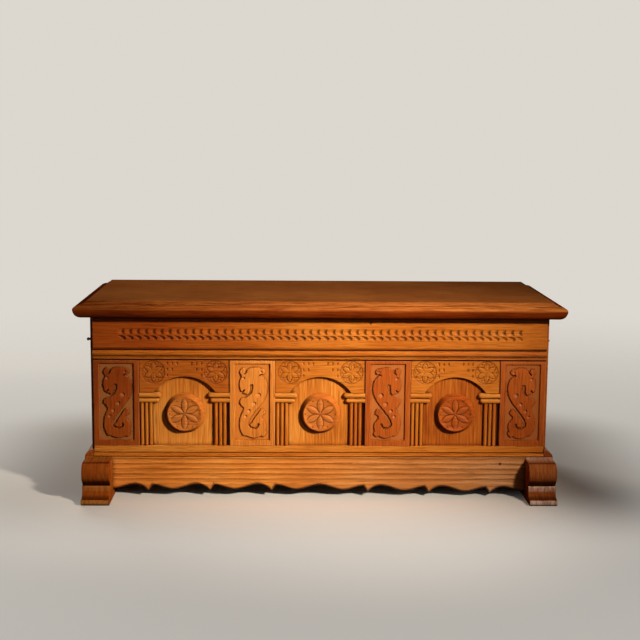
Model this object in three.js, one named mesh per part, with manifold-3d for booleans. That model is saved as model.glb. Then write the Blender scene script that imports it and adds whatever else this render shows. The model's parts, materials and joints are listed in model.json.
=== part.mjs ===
// A low oak coffer chest on two runner feet: a plain box whose front is dressed with
// pilaster panels, three arched bays, a frieze and a waist moulding, under a moulded lid.
// Millimetres. X runs along the front, Y from the front towards the back, Z up from the floor.
// Y = 0 is the face of the pilaster panels.

import * as THREE from 'three';
import { mergeVertices } from 'three/addons/utils/BufferGeometryUtils.js';
import Module from 'manifold-3d';

const wasm = await Module();
wasm.setup();

// Driving sizes of the carcase and its front
const carcaseDepth = 420;
const sideBoardThickness = 20;
const frontBoardThickness = 18;
const backBoardThickness = 18;
const bottomBoardThickness = 15;
const bearerThickness = 18;
const facingThickness = 11;
const sideStripWidth = 7;
const bayCount = 3;
const pilasterWidth = 112;
const bayWidth = 223;
const panelHeight = 215;
const friezeHeight = 82;
const bottomRailHeight = 17;
const bottomRailReach = 1.5;
const bottomRailRounding = 3;
const plinthHeight = 104;

// Waist moulding: quirk, fillet, hollow and torus, from the bottom up
const waistQuirkHeight = 2;
const waistQuirkSetBack = 2;
const waistFilletHeight = 5;
const waistFilletReach = 3;
const waistHollowHeight = 4;
const waistHollowReach = 1;
const waistTorusRadius = 7.5;

// Base bead: lip, bead and groove, from the bottom up
const baseBeadReach = 4;
const baseLipHeight = 1;
const baseBeadRadius = 2.5;
const baseGrooveHeight = 4;
const baseGrooveSetBack = 3;

// Carved fields of the pilaster panels
const fieldSideBorder = 12;
const fieldTopBorder = 9;
const fieldBottomBorder = 15;
const fieldDepth = 3;

// Arches, columns, capitals and bosses
const archBoardThickness = 8.5;
const archRadius = 93;
const archCentreAbovePanelBottom = 81;
const springingAbovePanelBottom = 134;
const capitalUpperHeight = 15;
const capitalUpperLength = 54;
const capitalUpperReach = 2;
const capitalLowerHeight = 11;
const capitalLowerLength = 49;
const capitalLowerReach = 0.5;
const reedCount = 3;
const reedRadius = 4.8;
const reedGap = 1.1;
const reedSetBack = 7;
const leftColumnInset = 1;
const rightColumnInset = 7.5;
const bossRadius = 51;
const bossRimThickness = 6;
const bossFaceRadius = 41;
const bossRimReach = 5;
const bossFaceReach = 4;
const bossQuirkWidth = 1.5;
const petalCount = 6;
const petalLength = 36;
const petalWidth = 15;
const petalRelief = 1.5;

// Apron between the feet, with a scalloped lower edge and shallow flutes
const apronThickness = 18;
const apronReach = 6;
const apronUnit = 153;
const apronPeakHeight = 33;
const apronLowHeight = 20;
const apronNotchHeight = 31;
const apronTipHeight = 16;
const apronLowShare = 0.386;
const apronNotchShare = 0.714;
const apronTipShare = 0.784;
const apronEndHeight = 22;
const fluteCount = 5;
const flutePitch = 13;
const fluteDepth = 1.4;
const fluteTopMargin = 3;
const backRailThickness = 18;
const backRailClearance = 40;

// Runner feet
const footWidth = 68.5;
const footSideReach = 16.5;
const footTopReach = 6;
const footLedgeDrop = 4.5;
const footRollRadius = 26;
const footRollReach = 66;
const footRollSweep = (145 * Math.PI) / 180;
const footNeckReach = 48;
const footNeckHeight = 43;
const footFilletReach = 54;
const footFilletHeight = 36;
const footBaseReach = 80;
const footLipHeight = 20;
const footToeHeight = 7;
const baseMouldingHeight = 17;
const baseMouldingTopWidth = 2;
const baseMouldingReach = 4;

// Lid
const lidThickness = 40;
const lidFrontReach = 41.5;
const lidSideReach = 34.5;
const lidSeatGap = 0.5;
const lidMouldingWidth = 30;
const lidMouldingTopDrop = 1.5;
const lidNoseHeight = 18;
const lidNoseStep = 1.5;
const lidNoseStepInset = 20;
const lidNoseStepHeight = 31.5;
const lidUndersideInset = 15.5;
const mitreGap = 0.3;
const battenWidth = 60;
const battenThickness = 18;
const battenInset = 250;
const battenClearance = 24;

// Hinges on the back, with their pins below the lid's rear edge
const hingeInset = 185.5;
const hingeLength = 76;
const hingeLeafHeight = 34;
const hingeLeafThickness = 2.5;
const hingeKnuckleRadius = 5;
const hingePinRadius = 2.5;
const hingePinHeadRadius = 3.6;
const hingePinHeadLength = 1.6;
const hingeBarrelShare = 1 / 3;
const runningGap = 0.3;

// Iron drop handles on the sides
const handlePostSpacing = 120;
const handleBelowRim = 82;
const handlePlateMargin = 15;
const handlePlateHeight = 26;
const handlePlateThickness = 2.5;
const handlePivotReach = 18.5;
const handleBallRadius = 7;
const handleNeckRadius = 4.5;
const handleButtonRadius = 4.2;
const handleButtonNeckRadius = 2.5;
const handleButtonNeckLength = 0.5;
const handleFlangeRadius = 10;
const handleFlangeThickness = 3;
const bailRadius = 3;
const bailDrop = 50;
const bailShoulder = 9;
const bailSpread = 18;
const bailLegLength = 13;
const bailEndLength = 8;

// How far a cutting shape runs past what it cuts
const cutOverrun = 1;

// Steps of the round stretches
const arcSteps = 5;
const archSteps = 24;
const turnedSteps = 40;
const knuckleSteps = 20;
const bailSteps = 48;
const bailSides = 10;

// Levels and faces that follow from the driving sizes
const waistHeight = waistQuirkHeight + waistFilletHeight + waistHollowHeight + 2 * waistTorusRadius;
const baseBeadHeight = baseLipHeight + 2 * baseBeadRadius + baseGrooveHeight;
const bottomRailBottom = plinthHeight + baseBeadHeight;
const panelBottom = bottomRailBottom + bottomRailHeight;
const panelTop = panelBottom + panelHeight;
const friezeBottom = panelTop + waistHeight;
const carcaseTop = friezeBottom + friezeHeight;
const facingHalf = ((bayCount + 1) * pilasterWidth + bayCount * bayWidth) / 2;
const carcaseHalf = facingHalf + sideStripWidth;
const insideHalf = carcaseHalf - sideBoardThickness;
const carcaseBack = facingThickness + carcaseDepth;
const insideFront = facingThickness + frontBoardThickness;
const insideBack = carcaseBack - backBoardThickness;
const footOuter = carcaseHalf + footSideReach;
const footInner = footOuter - footWidth;
const lidBottom = carcaseTop + lidSeatGap;
const lidTop = lidBottom + lidThickness;
const lidHalf = carcaseHalf + lidSideReach;
const archCentre = panelBottom + archCentreAbovePanelBottom;
const springingLine = panelBottom + springingAbovePanelBottom;
const capitalBottom = springingLine - capitalUpperHeight - capitalLowerHeight;
const archOpeningHalf = Math.sqrt(archRadius ** 2 - (springingLine - archCentre) ** 2);
const pivotY = carcaseBack + runningGap + hingeKnuckleRadius;
const pivotZ = carcaseTop + lidSeatGap / 2;
const hingeMiddle = carcaseHalf - hingeInset;
const battenMiddle = lidHalf - battenInset;
const handlePlateLength = handlePostSpacing + 2 * handlePlateMargin;
const depthMiddle = (pivotY + hingeKnuckleRadius - footBaseReach) / 2;

// Finishes
const honeyOak = { color: 0xb5702f, roughness: 0.45, metalness: 0 };
const redOak = { color: 0x9c4f22, roughness: 0.45, metalness: 0 };
const brownOak = { color: 0x6f3d1c, roughness: 0.4, metalness: 0 };
const plainOak = { color: 0xa5713e, roughness: 0.65, metalness: 0 };
const blackIron = { color: 0x1d1b1a, roughness: 0.55, metalness: 0.9 };

// Scene graph: one group for each unit that is built on the bench
const chest = new THREE.Group();
chest.name = 'coffer_chest';
chest.position.y = -depthMiddle;
const carcase = new THREE.Group();
const facing = new THREE.Group();
const plinth = new THREE.Group();
const lid = new THREE.Group();
chest.add(carcase, facing, plinth, lid);

function addPiece(group, name, geometry, finish) {
  const mesh = new THREE.Mesh(geometry, new THREE.MeshStandardMaterial(finish));
  mesh.name = name;
  group.add(mesh);
  return mesh;
}

// A straight board between two opposite corners
function board(low, high) {
  const size = new THREE.Vector3(...high).sub(new THREE.Vector3(...low));
  const middle = new THREE.Vector3(...high).add(new THREE.Vector3(...low)).multiplyScalar(1 / 2);
  const placing = new THREE.Matrix4().makeScale(size.x, size.y, size.z).setPosition(middle);
  return new THREE.BoxGeometry(1, 1, 1).applyMatrix4(placing);
}

function unitExtrusion(shape, curveSegments) {
  return new THREE.ExtrudeGeometry(shape, { depth: 1, steps: 1, bevelEnabled: false, curveSegments });
}

// A moulding: its section is drawn in Y and Z, and it runs along X
function alongX(shape, low, high, curveSegments = arcSteps) {
  const length = high - low;
  const placing = new THREE.Matrix4().set(0, 0, length, low, 1, 0, 0, 0, 0, 1, 0, 0, 0, 0, 0, 1);
  return unitExtrusion(shape, curveSegments).applyMatrix4(placing);
}

// A shaped board: its outline is drawn in X and Z, and it runs along Y
function alongY(shape, low, high, curveSegments = arcSteps) {
  const length = high - low;
  const placing = new THREE.Matrix4().set(1, 0, 0, 0, 0, 0, -length, high, 0, 1, 0, 0, 0, 0, 0, 1);
  return unitExtrusion(shape, curveSegments).applyMatrix4(placing);
}

// An upright: its section is drawn in X and Y, and it runs along Z
function alongZ(shape, low, high, curveSegments = arcSteps) {
  const length = high - low;
  const placing = new THREE.Matrix4().set(1, 0, 0, 0, 0, 1, 0, 0, 0, 0, length, low, 0, 0, 0, 1);
  return unitExtrusion(shape, curveSegments).applyMatrix4(placing);
}

// Joins and cuts: a closed geometry becomes a solid, and the solid becomes a geometry again
function solidOf(geometry) {
  const bare = geometry.clone();
  bare.deleteAttribute('normal');
  bare.deleteAttribute('uv');
  const merged = mergeVertices(bare);
  const corners = merged.index.array;
  const kept = [];
  for (let i = 0; i < corners.length; i += 3) {
    const [a, b, c] = [corners[i], corners[i + 1], corners[i + 2]];
    if (a !== b && b !== c && c !== a) kept.push(a, b, c);
  }
  const vertProperties = Float32Array.from(merged.attributes.position.array);
  const triVerts = Uint32Array.from(kept);
  return new wasm.Manifold(new wasm.Mesh({ numProp: 3, vertProperties, triVerts }));
}

function geometryOf(solid) {
  const mesh = solid.getMesh();
  const geometry = new THREE.BufferGeometry();
  geometry.setAttribute('position', new THREE.BufferAttribute(Float32Array.from(mesh.vertProperties), 3));
  geometry.setIndex(new THREE.BufferAttribute(Uint32Array.from(mesh.triVerts), 1));
  geometry.computeVertexNormals();
  return geometry;
}

function joined(...geometries) {
  return geometryOf(geometries.map(solidOf).reduce((whole, next) => whole.add(next)));
}

function cut(geometry, ...cutters) {
  return geometryOf(cutters.map(solidOf).reduce((whole, next) => whole.subtract(next), solidOf(geometry)));
}

function common(first, second) {
  return geometryOf(solidOf(first).intersect(solidOf(second)));
}

// Carcase: a plain box of boards, glued and pinned
function buildCarcase() {
  for (const [side, name] of [[-1, 'left'], [1, 'right']]) {
    const faces = [side * insideHalf, side * carcaseHalf].sort((a, b) => a - b);
    const low = [faces[0], facingThickness, plinthHeight];
    const high = [faces[1], carcaseBack, carcaseTop];
    addPiece(carcase, `${name}_side_board`, board(low, high), honeyOak);
  }
  const frontLow = [-insideHalf, facingThickness, plinthHeight];
  addPiece(carcase, 'front_board', board(frontLow, [insideHalf, insideFront, carcaseTop]), honeyOak);
  const backLow = [-insideHalf, insideBack, plinthHeight];
  addPiece(carcase, 'back_board', board(backLow, [insideHalf, carcaseBack, carcaseTop]), plainOak);

  const bearerTop = plinthHeight + bearerThickness;
  const frontBearerHigh = [insideHalf, insideFront + bearerThickness, bearerTop];
  const frontBearer = board([-insideHalf, insideFront, plinthHeight], frontBearerHigh);
  addPiece(carcase, 'front_bearer', frontBearer, plainOak);
  const backBearerLow = [-insideHalf, insideBack - bearerThickness, plinthHeight];
  addPiece(carcase, 'back_bearer', board(backBearerLow, [insideHalf, insideBack, bearerTop]), plainOak);
  const bottomHigh = [insideHalf, insideBack, bearerTop + bottomBoardThickness];
  addPiece(carcase, 'bottom_board', board([-insideHalf, insideFront, bearerTop], bottomHigh), plainOak);
}

// Frieze, waist moulding, bottom rail and base bead, which run the whole width of the front
function buildLongFacings() {
  const friezeLow = [-facingHalf, 0, friezeBottom];
  addPiece(facing, 'frieze_board', board(friezeLow, [facingHalf, facingThickness, carcaseTop]), honeyOak);

  const waist = new THREE.Shape();
  const filletBottom = panelTop + waistQuirkHeight;
  const filletTop = filletBottom + waistFilletHeight;
  const torusCentre = friezeBottom - waistTorusRadius;
  waist.moveTo(facingThickness, panelTop);
  waist.lineTo(facingThickness, friezeBottom);
  waist.lineTo(-waistHollowReach, friezeBottom);
  waist.absarc(-waistHollowReach, torusCentre, waistTorusRadius, Math.PI / 2, (3 * Math.PI) / 2, false);
  waist.quadraticCurveTo(-waistHollowReach, filletTop, -waistFilletReach, filletTop);
  waist.lineTo(-waistFilletReach, filletBottom);
  waist.lineTo(waistQuirkSetBack, filletBottom);
  waist.lineTo(waistQuirkSetBack, panelTop);
  waist.closePath();
  addPiece(facing, 'waist_moulding', alongX(waist, -facingHalf, facingHalf), honeyOak);

  const rail = new THREE.Shape();
  const railFace = -bottomRailReach;
  rail.moveTo(facingThickness, bottomRailBottom);
  rail.lineTo(facingThickness, panelBottom);
  rail.lineTo(railFace, panelBottom);
  rail.lineTo(railFace, bottomRailBottom + bottomRailRounding);
  rail.quadraticCurveTo(railFace, bottomRailBottom, railFace + bottomRailRounding, bottomRailBottom);
  rail.closePath();
  addPiece(facing, 'bottom_rail', alongX(rail, -facingHalf, facingHalf), honeyOak);

  const bead = new THREE.Shape();
  const beadCentre = plinthHeight + baseLipHeight + baseBeadRadius;
  const beadTop = beadCentre + baseBeadRadius;
  bead.moveTo(facingThickness, plinthHeight);
  bead.lineTo(facingThickness, bottomRailBottom);
  bead.lineTo(baseGrooveSetBack, bottomRailBottom);
  bead.lineTo(baseGrooveSetBack, beadTop);
  bead.lineTo(-baseBeadReach, beadTop);
  bead.absarc(-baseBeadReach, beadCentre, baseBeadRadius, Math.PI / 2, (3 * Math.PI) / 2, false);
  bead.lineTo(-baseBeadReach, plinthHeight);
  bead.closePath();
  addPiece(facing, 'base_bead', alongX(bead, -facingHalf, facingHalf), honeyOak);
}

// Pilaster panels: boards with a sunk field, where the scroll carving stands
function pilasterPanel(left) {
  const blank = board([left, 0, panelBottom], [left + pilasterWidth, facingThickness, panelTop]);
  const fieldLow = [left + fieldSideBorder, -fieldDepth, panelBottom + fieldBottomBorder];
  const fieldHigh = [left + pilasterWidth - fieldSideBorder, fieldDepth, panelTop - fieldTopBorder];
  return cut(blank, board(fieldLow, fieldHigh));
}

// Arch board: a spandrel board cut to a round arch above the capitals
function archBoard(middle) {
  const angle = Math.atan2(springingLine - archCentre, archOpeningHalf);
  const outline = new THREE.Shape();
  outline.moveTo(middle + archOpeningHalf, springingLine);
  outline.lineTo(middle + bayWidth / 2, springingLine);
  outline.lineTo(middle + bayWidth / 2, panelTop);
  outline.lineTo(middle - bayWidth / 2, panelTop);
  outline.lineTo(middle - bayWidth / 2, springingLine);
  outline.lineTo(middle - archOpeningHalf, springingLine);
  outline.absarc(middle, archCentre, archRadius, Math.PI - angle, angle, true);
  return alongY(outline, facingThickness - archBoardThickness, facingThickness, archSteps);
}

// Capital: two stacked bands, rounded at the front and at the end that faces the arch
function capital(wall, direction) {
  const noseLower = capitalLowerHeight / 2;
  const noseUpper = capitalUpperHeight / 2;
  const section = new THREE.Shape();
  section.moveTo(facingThickness, capitalBottom);
  section.lineTo(facingThickness, springingLine);
  section.lineTo(noseUpper - capitalUpperReach, springingLine);
  section.absarc(noseUpper - capitalUpperReach, springingLine - noseUpper, noseUpper, Math.PI / 2, (3 * Math.PI) / 2);
  section.lineTo(noseLower - capitalLowerReach, capitalBottom + capitalLowerHeight);
  section.absarc(noseLower - capitalLowerReach, capitalBottom + noseLower, noseLower, Math.PI / 2, (3 * Math.PI) / 2);
  section.closePath();
  const ends = [wall, wall + direction * capitalUpperLength].sort((a, b) => a - b);
  const band = alongX(section, ends[0], ends[1]);

  const at = (distance) => wall + direction * distance;
  const turn = (angle) => (direction > 0 ? angle : Math.PI - angle);
  const outline = new THREE.Shape();
  const lowerMiddle = at(capitalLowerLength - noseLower);
  const upperMiddle = at(capitalUpperLength - noseUpper);
  const clockwise = direction < 0;
  outline.moveTo(wall, capitalBottom);
  outline.lineTo(lowerMiddle, capitalBottom);
  outline.absarc(lowerMiddle, capitalBottom + noseLower, noseLower, turn(-Math.PI / 2), turn(Math.PI / 2), clockwise);
  outline.lineTo(upperMiddle, capitalBottom + capitalLowerHeight);
  outline.absarc(upperMiddle, springingLine - noseUpper, noseUpper, turn(-Math.PI / 2), turn(Math.PI / 2), clockwise);
  outline.lineTo(wall, springingLine);
  outline.closePath();
  return common(band, alongY(outline, -capitalUpperReach - cutOverrun, facingThickness + cutOverrun));
}

// Column: half-round reeds on a thin backing
function column(wall, direction) {
  const pitch = 2 * reedRadius + reedGap;
  const width = reedCount * pitch;
  const start = direction > 0 ? wall + leftColumnInset : wall - rightColumnInset - width;
  const section = new THREE.Shape();
  section.moveTo(start, facingThickness);
  section.lineTo(start, reedSetBack);
  for (let reed = 0; reed < reedCount; reed += 1) {
    const centre = start + (reed + 1 / 2) * pitch;
    section.lineTo(centre - reedRadius, reedSetBack);
    section.absarc(centre, reedSetBack, reedRadius, Math.PI, 2 * Math.PI, false);
  }
  section.lineTo(start + width, reedSetBack);
  section.lineTo(start + width, facingThickness);
  section.closePath();
  return alongZ(section, panelBottom, capitalBottom);
}

// Boss: a turned disc with a moulded rim and six pointed petals
function boss() {
  const rimFront = facingThickness - bossRimThickness;
  const profile = [
    [0, facingThickness],
    [bossRadius, facingThickness],
    [bossRadius, rimFront],
  ];
  const rim = new THREE.QuadraticBezierCurve(
    new THREE.Vector2(bossRadius, rimFront),
    new THREE.Vector2(bossRadius, -bossRimReach),
    new THREE.Vector2(bossFaceRadius + bossQuirkWidth, -bossRimReach),
  );
  for (const point of rim.getPoints(arcSteps).slice(1)) profile.push([point.x, point.y]);
  profile.push([bossFaceRadius, -bossFaceReach]);
  profile.push([0, -bossFaceReach]);
  const points = profile.reverse().map(([radius, depth]) => new THREE.Vector2(radius, depth));
  const disc = new THREE.LatheGeometry(points, turnedSteps);

  const petals = [];
  for (let petal = 0; petal < petalCount; petal += 1) {
    const turn = Math.PI / 2 + (petal * 2 * Math.PI) / petalCount;
    const along = new THREE.Vector2(Math.cos(turn), Math.sin(turn));
    const across = new THREE.Vector2(-along.y, along.x).multiplyScalar(petalWidth);
    const tip = along.clone().multiplyScalar(petalLength);
    const middle = tip.clone().multiplyScalar(1 / 2);
    const leaf = new THREE.Shape();
    const leftControl = middle.clone().add(across);
    const rightControl = middle.clone().sub(across);
    leaf.moveTo(0, 0);
    leaf.quadraticCurveTo(rightControl.x, rightControl.y, tip.x, tip.y);
    leaf.quadraticCurveTo(leftControl.x, leftControl.y, 0, 0);
    petals.push(alongY(leaf, -bossFaceReach - petalRelief, 0));
  }
  return joined(disc, ...petals);
}

function buildBays() {
  const pitch = pilasterWidth + bayWidth;
  for (let panel = 0; panel <= bayCount; panel += 1) {
    const geometry = pilasterPanel(-facingHalf + panel * pitch);
    addPiece(facing, `pilaster_panel_${panel + 1}`, geometry, redOak);
  }
  for (let bay = 0; bay < bayCount; bay += 1) {
    const left = -facingHalf + pilasterWidth + bay * pitch;
    const middle = left + bayWidth / 2;
    addPiece(facing, `arch_board_${bay + 1}`, archBoard(middle), honeyOak);
    [[left, 1], [left + bayWidth, -1]].forEach(([wall, direction], side) => {
      const number = 2 * bay + side + 1;
      addPiece(facing, `capital_${number}`, capital(wall, direction), honeyOak);
      addPiece(facing, `column_${number}`, column(wall, direction), honeyOak);
    });
    const disc = addPiece(facing, `boss_${bay + 1}`, boss(), redOak);
    disc.position.set(middle, 0, archCentre);
  }
}

// Front apron: a fluted face, cut below to repeated ogees with sharp hooks between them
function frontApron() {
  const face = new THREE.Shape();
  const back = apronThickness - apronReach;
  face.moveTo(back, 0);
  face.lineTo(back, plinthHeight);
  face.lineTo(-apronReach, plinthHeight);
  for (let flute = 0; flute < fluteCount; flute += 1) {
    const top = plinthHeight - fluteTopMargin - flute * flutePitch;
    face.lineTo(-apronReach, top);
    face.quadraticCurveTo(-apronReach + 2 * fluteDepth, top - flutePitch / 2, -apronReach, top - flutePitch);
  }
  face.lineTo(-apronReach, 0);
  face.closePath();

  const edge = new THREE.Shape();
  edge.moveTo(footInner, plinthHeight);
  edge.lineTo(-footInner, plinthHeight);
  const stops = [];
  for (let unit = 0; unit * apronUnit < footInner; unit += 1) {
    const start = unit * apronUnit;
    stops.push([start, apronPeakHeight, 'peak']);
    stops.push([start + apronLowShare * apronUnit, apronLowHeight, 'low']);
    stops.push([start + apronNotchShare * apronUnit, apronNotchHeight, 'notch']);
    stops.push([start + apronTipShare * apronUnit, apronTipHeight, 'tip']);
  }
  const inside = stops.filter(([x]) => x < footInner - apronUnit * (1 - apronTipShare));
  inside.push([footInner, apronEndHeight, 'end']);
  const leftHalf = inside.map(([x, z, kind]) => [-x, z, kind]).reverse();
  const whole = [...leftHalf, ...inside.slice(1)];
  edge.lineTo(whole[0][0], whole[0][1]);
  for (let i = 1; i < whole.length; i += 1) {
    const [x0, z0, from] = whole[i - 1];
    const [x1, z1, to] = whole[i];
    const middle = (x0 + x1) / 2;
    const hook = [from, to].includes('notch') && [from, to].includes('tip');
    if (hook) edge.lineTo(x1, z1);
    else if (from === 'tip' || from === 'notch') edge.quadraticCurveTo(middle, z1, x1, z1);
    else if (to === 'tip' || to === 'notch') edge.quadraticCurveTo(middle, z0, x1, z1);
    else edge.bezierCurveTo(middle, z0, middle, z1, x1, z1);
  }
  edge.closePath();
  return common(alongX(face, -footInner, footInner), alongY(edge, -apronReach, back));
}

// Runner foot: one plank from front to back, its front end shaped to a roll over a flared toe
function runnerFoot(low, high) {
  const ledge = plinthHeight - footLedgeDrop;
  const rollCentre = [footRollRadius - footRollReach, ledge - footRollRadius];
  const profile = new THREE.Shape();
  profile.moveTo(carcaseBack, 0);
  profile.lineTo(carcaseBack, plinthHeight);
  profile.lineTo(-footTopReach, plinthHeight);
  profile.lineTo(-footTopReach, ledge);
  profile.lineTo(rollCentre[0], ledge);
  profile.absarc(...rollCentre, footRollRadius, Math.PI / 2, Math.PI / 2 + footRollSweep, false);
  profile.lineTo(-footNeckReach, footNeckHeight);
  profile.lineTo(-footFilletReach, footNeckHeight);
  profile.lineTo(-footFilletReach, footFilletHeight);
  profile.quadraticCurveTo(-footFilletReach, footLipHeight, -footBaseReach, footLipHeight);
  profile.lineTo(-footBaseReach, footToeHeight);
  profile.quadraticCurveTo(-footBaseReach, 0, footToeHeight - footBaseReach, 0);
  profile.closePath();
  return alongX(profile, low, high, 2 * arcSteps);
}

function buildPlinth() {
  addPiece(plinth, 'front_apron', frontApron(), honeyOak);
  const railLow = [-footInner, carcaseBack - backRailThickness, backRailClearance];
  addPiece(plinth, 'back_plinth_rail', board(railLow, [footInner, carcaseBack, plinthHeight]), plainOak);
  addPiece(plinth, 'left_runner_foot', runnerFoot(-footOuter, -footInner), brownOak);
  addPiece(plinth, 'right_runner_foot', runnerFoot(footInner, footOuter), brownOak);

  for (const [side, name] of [[-1, 'left'], [1, 'right']]) {
    const section = new THREE.Shape();
    const top = plinthHeight + baseMouldingHeight;
    section.moveTo(side * carcaseHalf, plinthHeight);
    section.lineTo(side * footOuter, plinthHeight);
    section.quadraticCurveTo(side * footOuter, plinthHeight + baseMouldingHeight / 2,
      side * (carcaseHalf + baseMouldingTopWidth), top);
    section.lineTo(side * carcaseHalf, top);
    section.closePath();
    addPiece(plinth, `${name}_base_moulding`, alongY(section, -baseMouldingReach, carcaseBack), brownOak);
  }
}

// Section of the lid moulding, drawn from its outer edge: a nose under a sloping shoulder
function lidSection(inward) {
  const section = new THREE.Shape();
  const nose = lidBottom + lidNoseHeight;
  const step = lidBottom + lidNoseStepHeight;
  section.moveTo(inward(lidMouldingWidth), lidBottom);
  section.lineTo(inward(lidUndersideInset), lidBottom);
  section.quadraticCurveTo(inward(0), lidBottom, inward(0), nose);
  section.quadraticCurveTo(inward(0), step, inward(lidNoseStepInset), step);
  section.lineTo(inward(lidNoseStepInset), step + lidNoseStep);
  section.lineTo(inward(lidMouldingWidth), lidTop - lidMouldingTopDrop);
  section.closePath();
  return section;
}

function buildLid() {
  const boardLow = [lidMouldingWidth - lidHalf, lidMouldingWidth - lidFrontReach, lidBottom];
  addPiece(lid, 'lid_board', board(boardLow, [lidHalf - lidMouldingWidth, carcaseBack, lidTop]), brownOak);

  const frontSection = lidSection((inset) => inset - lidFrontReach);
  const front = alongX(frontSection, -lidHalf, lidHalf, 2 * arcSteps);
  const corners = front.attributes.position;
  for (let i = 0; i < corners.count; i += 1) {
    const inset = corners.getY(i) + lidFrontReach;
    corners.setX(i, corners.getX(i) - Math.sign(corners.getX(i)) * (inset + mitreGap / 2));
  }
  addPiece(lid, 'lid_front_moulding', front, brownOak);

  for (const [side, name] of [[-1, 'left'], [1, 'right']]) {
    const sideSection = lidSection((inset) => side * (lidHalf - inset));
    const length = alongY(sideSection, -lidFrontReach, carcaseBack, 2 * arcSteps);
    const ends = length.attributes.position;
    for (let i = 0; i < ends.count; i += 1) {
      const inset = lidHalf - Math.abs(ends.getX(i));
      if (ends.getY(i) < 0) ends.setY(i, ends.getY(i) + inset + mitreGap / 2);
    }
    addPiece(lid, `lid_${name}_moulding`, length, brownOak);

    const middle = side * battenMiddle;
    const battenLow = [middle - battenWidth / 2, insideFront + battenClearance, lidBottom - battenThickness];
    const battenHigh = [middle + battenWidth / 2, insideBack - battenClearance, lidBottom];
    addPiece(lid, `lid_${name}_batten`, board(battenLow, battenHigh), plainOak);
  }
}

// A turned bar along X, about the hinge line
function barAlongX(radius, low, high) {
  const bar = new THREE.CylinderGeometry(radius, radius, high - low, knuckleSteps);
  bar.rotateZ(Math.PI / 2);
  bar.translate((low + high) / 2, 0, 0);
  return bar;
}

// Butt hinges, drawn about the hinge line: one leaf on the back board, one on the lid's edge
function buildHinges() {
  const half = hingeLength / 2;
  const barrel = hingeLength * hingeBarrelShare;
  const leafFront = -hingeKnuckleRadius;
  const leafBack = leafFront + hingeLeafThickness;
  const leafStart = hingeKnuckleRadius + runningGap;
  const leafEnd = leafStart + hingeLeafHeight;
  const bore = barAlongX(hingePinRadius + runningGap, -half - runningGap, half + runningGap);
  const inner = barrel / 2 - runningGap / 2;
  const outer = barrel / 2 + runningGap / 2;

  [[-1, 'left'], [1, 'right']].forEach(([side, name]) => {
    const hinge = new THREE.Group();
    hinge.position.set(side * hingeMiddle, pivotY, pivotZ);
    carcase.add(hinge);

    const lower = joined(
      board([-half, leafFront, -leafEnd], [half, leafBack, -leafStart]),
      board([-half, leafFront, -leafStart], [-outer, leafBack, 0]),
      board([outer, leafFront, -leafStart], [half, leafBack, 0]),
      barAlongX(hingeKnuckleRadius, -half, -outer),
      barAlongX(hingeKnuckleRadius, outer, half),
    );
    addPiece(hinge, `${name}_hinge_lower_leaf`, cut(lower, bore), blackIron);
    const upper = joined(
      board([-half, leafFront, leafStart], [half, leafBack, leafEnd]),
      board([-inner, leafFront, 0], [inner, leafBack, leafStart]),
      barAlongX(hingeKnuckleRadius, -inner, inner),
    );
    addPiece(hinge, `${name}_hinge_upper_leaf`, cut(upper, bore), blackIron);
    const pin = joined(
      barAlongX(hingePinRadius, -half, half + runningGap),
      barAlongX(hingePinHeadRadius, half + runningGap, half + runningGap + hingePinHeadLength),
    );
    addPiece(hinge, `${name}_hinge_pin`, pin, blackIron);
  });
}

// Drop handle, drawn with X out from the side of the chest and Z up from its pivot. Each post has a
// ball that the bail turns in and a button beyond it.
function handlePlate() {
  const plate = board(
    [runningGap, -handlePlateLength / 2, -handlePlateHeight / 2],
    [runningGap + handlePlateThickness, handlePlateLength / 2, handlePlateHeight / 2],
  );
  const start = runningGap + handlePlateThickness / 2;
  const flangeEnd = runningGap + handlePlateThickness + handleFlangeThickness;
  const profile = [
    [0, start],
    [handleFlangeRadius, start],
    [handleFlangeRadius, flangeEnd],
    [handleNeckRadius, flangeEnd + handleFlangeThickness],
  ];
  const half = (radius, neck) => Math.sqrt(radius ** 2 - neck ** 2);
  const addBall = (middle, radius, neckBefore, neckAfter) => {
    const first = Math.asin(neckBefore / radius);
    const sweep = Math.PI - first - Math.asin(neckAfter / radius);
    for (let step = 0; step < 2 * arcSteps; step += 1) {
      const angle = first + (sweep * step) / (2 * arcSteps);
      profile.push([radius * Math.sin(angle), middle - radius * Math.cos(angle)]);
    }
    profile.push([neckAfter, middle + half(radius, neckAfter)]);
  };
  const buttonMiddle = handlePivotReach + half(handleBallRadius, handleButtonNeckRadius)
    + handleButtonNeckLength + half(handleButtonRadius, handleButtonNeckRadius);
  addBall(handlePivotReach, handleBallRadius, handleNeckRadius, handleButtonNeckRadius);
  addBall(buttonMiddle, handleButtonRadius, handleButtonNeckRadius, 0);
  const points = profile.map(([radius, reach]) => new THREE.Vector2(radius, reach));
  const posts = [-1, 1].map((end) => {
    const post = new THREE.LatheGeometry(points, knuckleSteps);
    post.rotateZ(-Math.PI / 2);
    post.translate(0, (end * handlePostSpacing) / 2, 0);
    return post;
  });
  const boreRadius = bailRadius + runningGap;
  const bore = new THREE.CylinderGeometry(boreRadius, boreRadius, handlePlateLength, bailSides);
  bore.translate(handlePivotReach, 0, 0);
  return cut(joined(plate, ...posts), bore);
}

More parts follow.
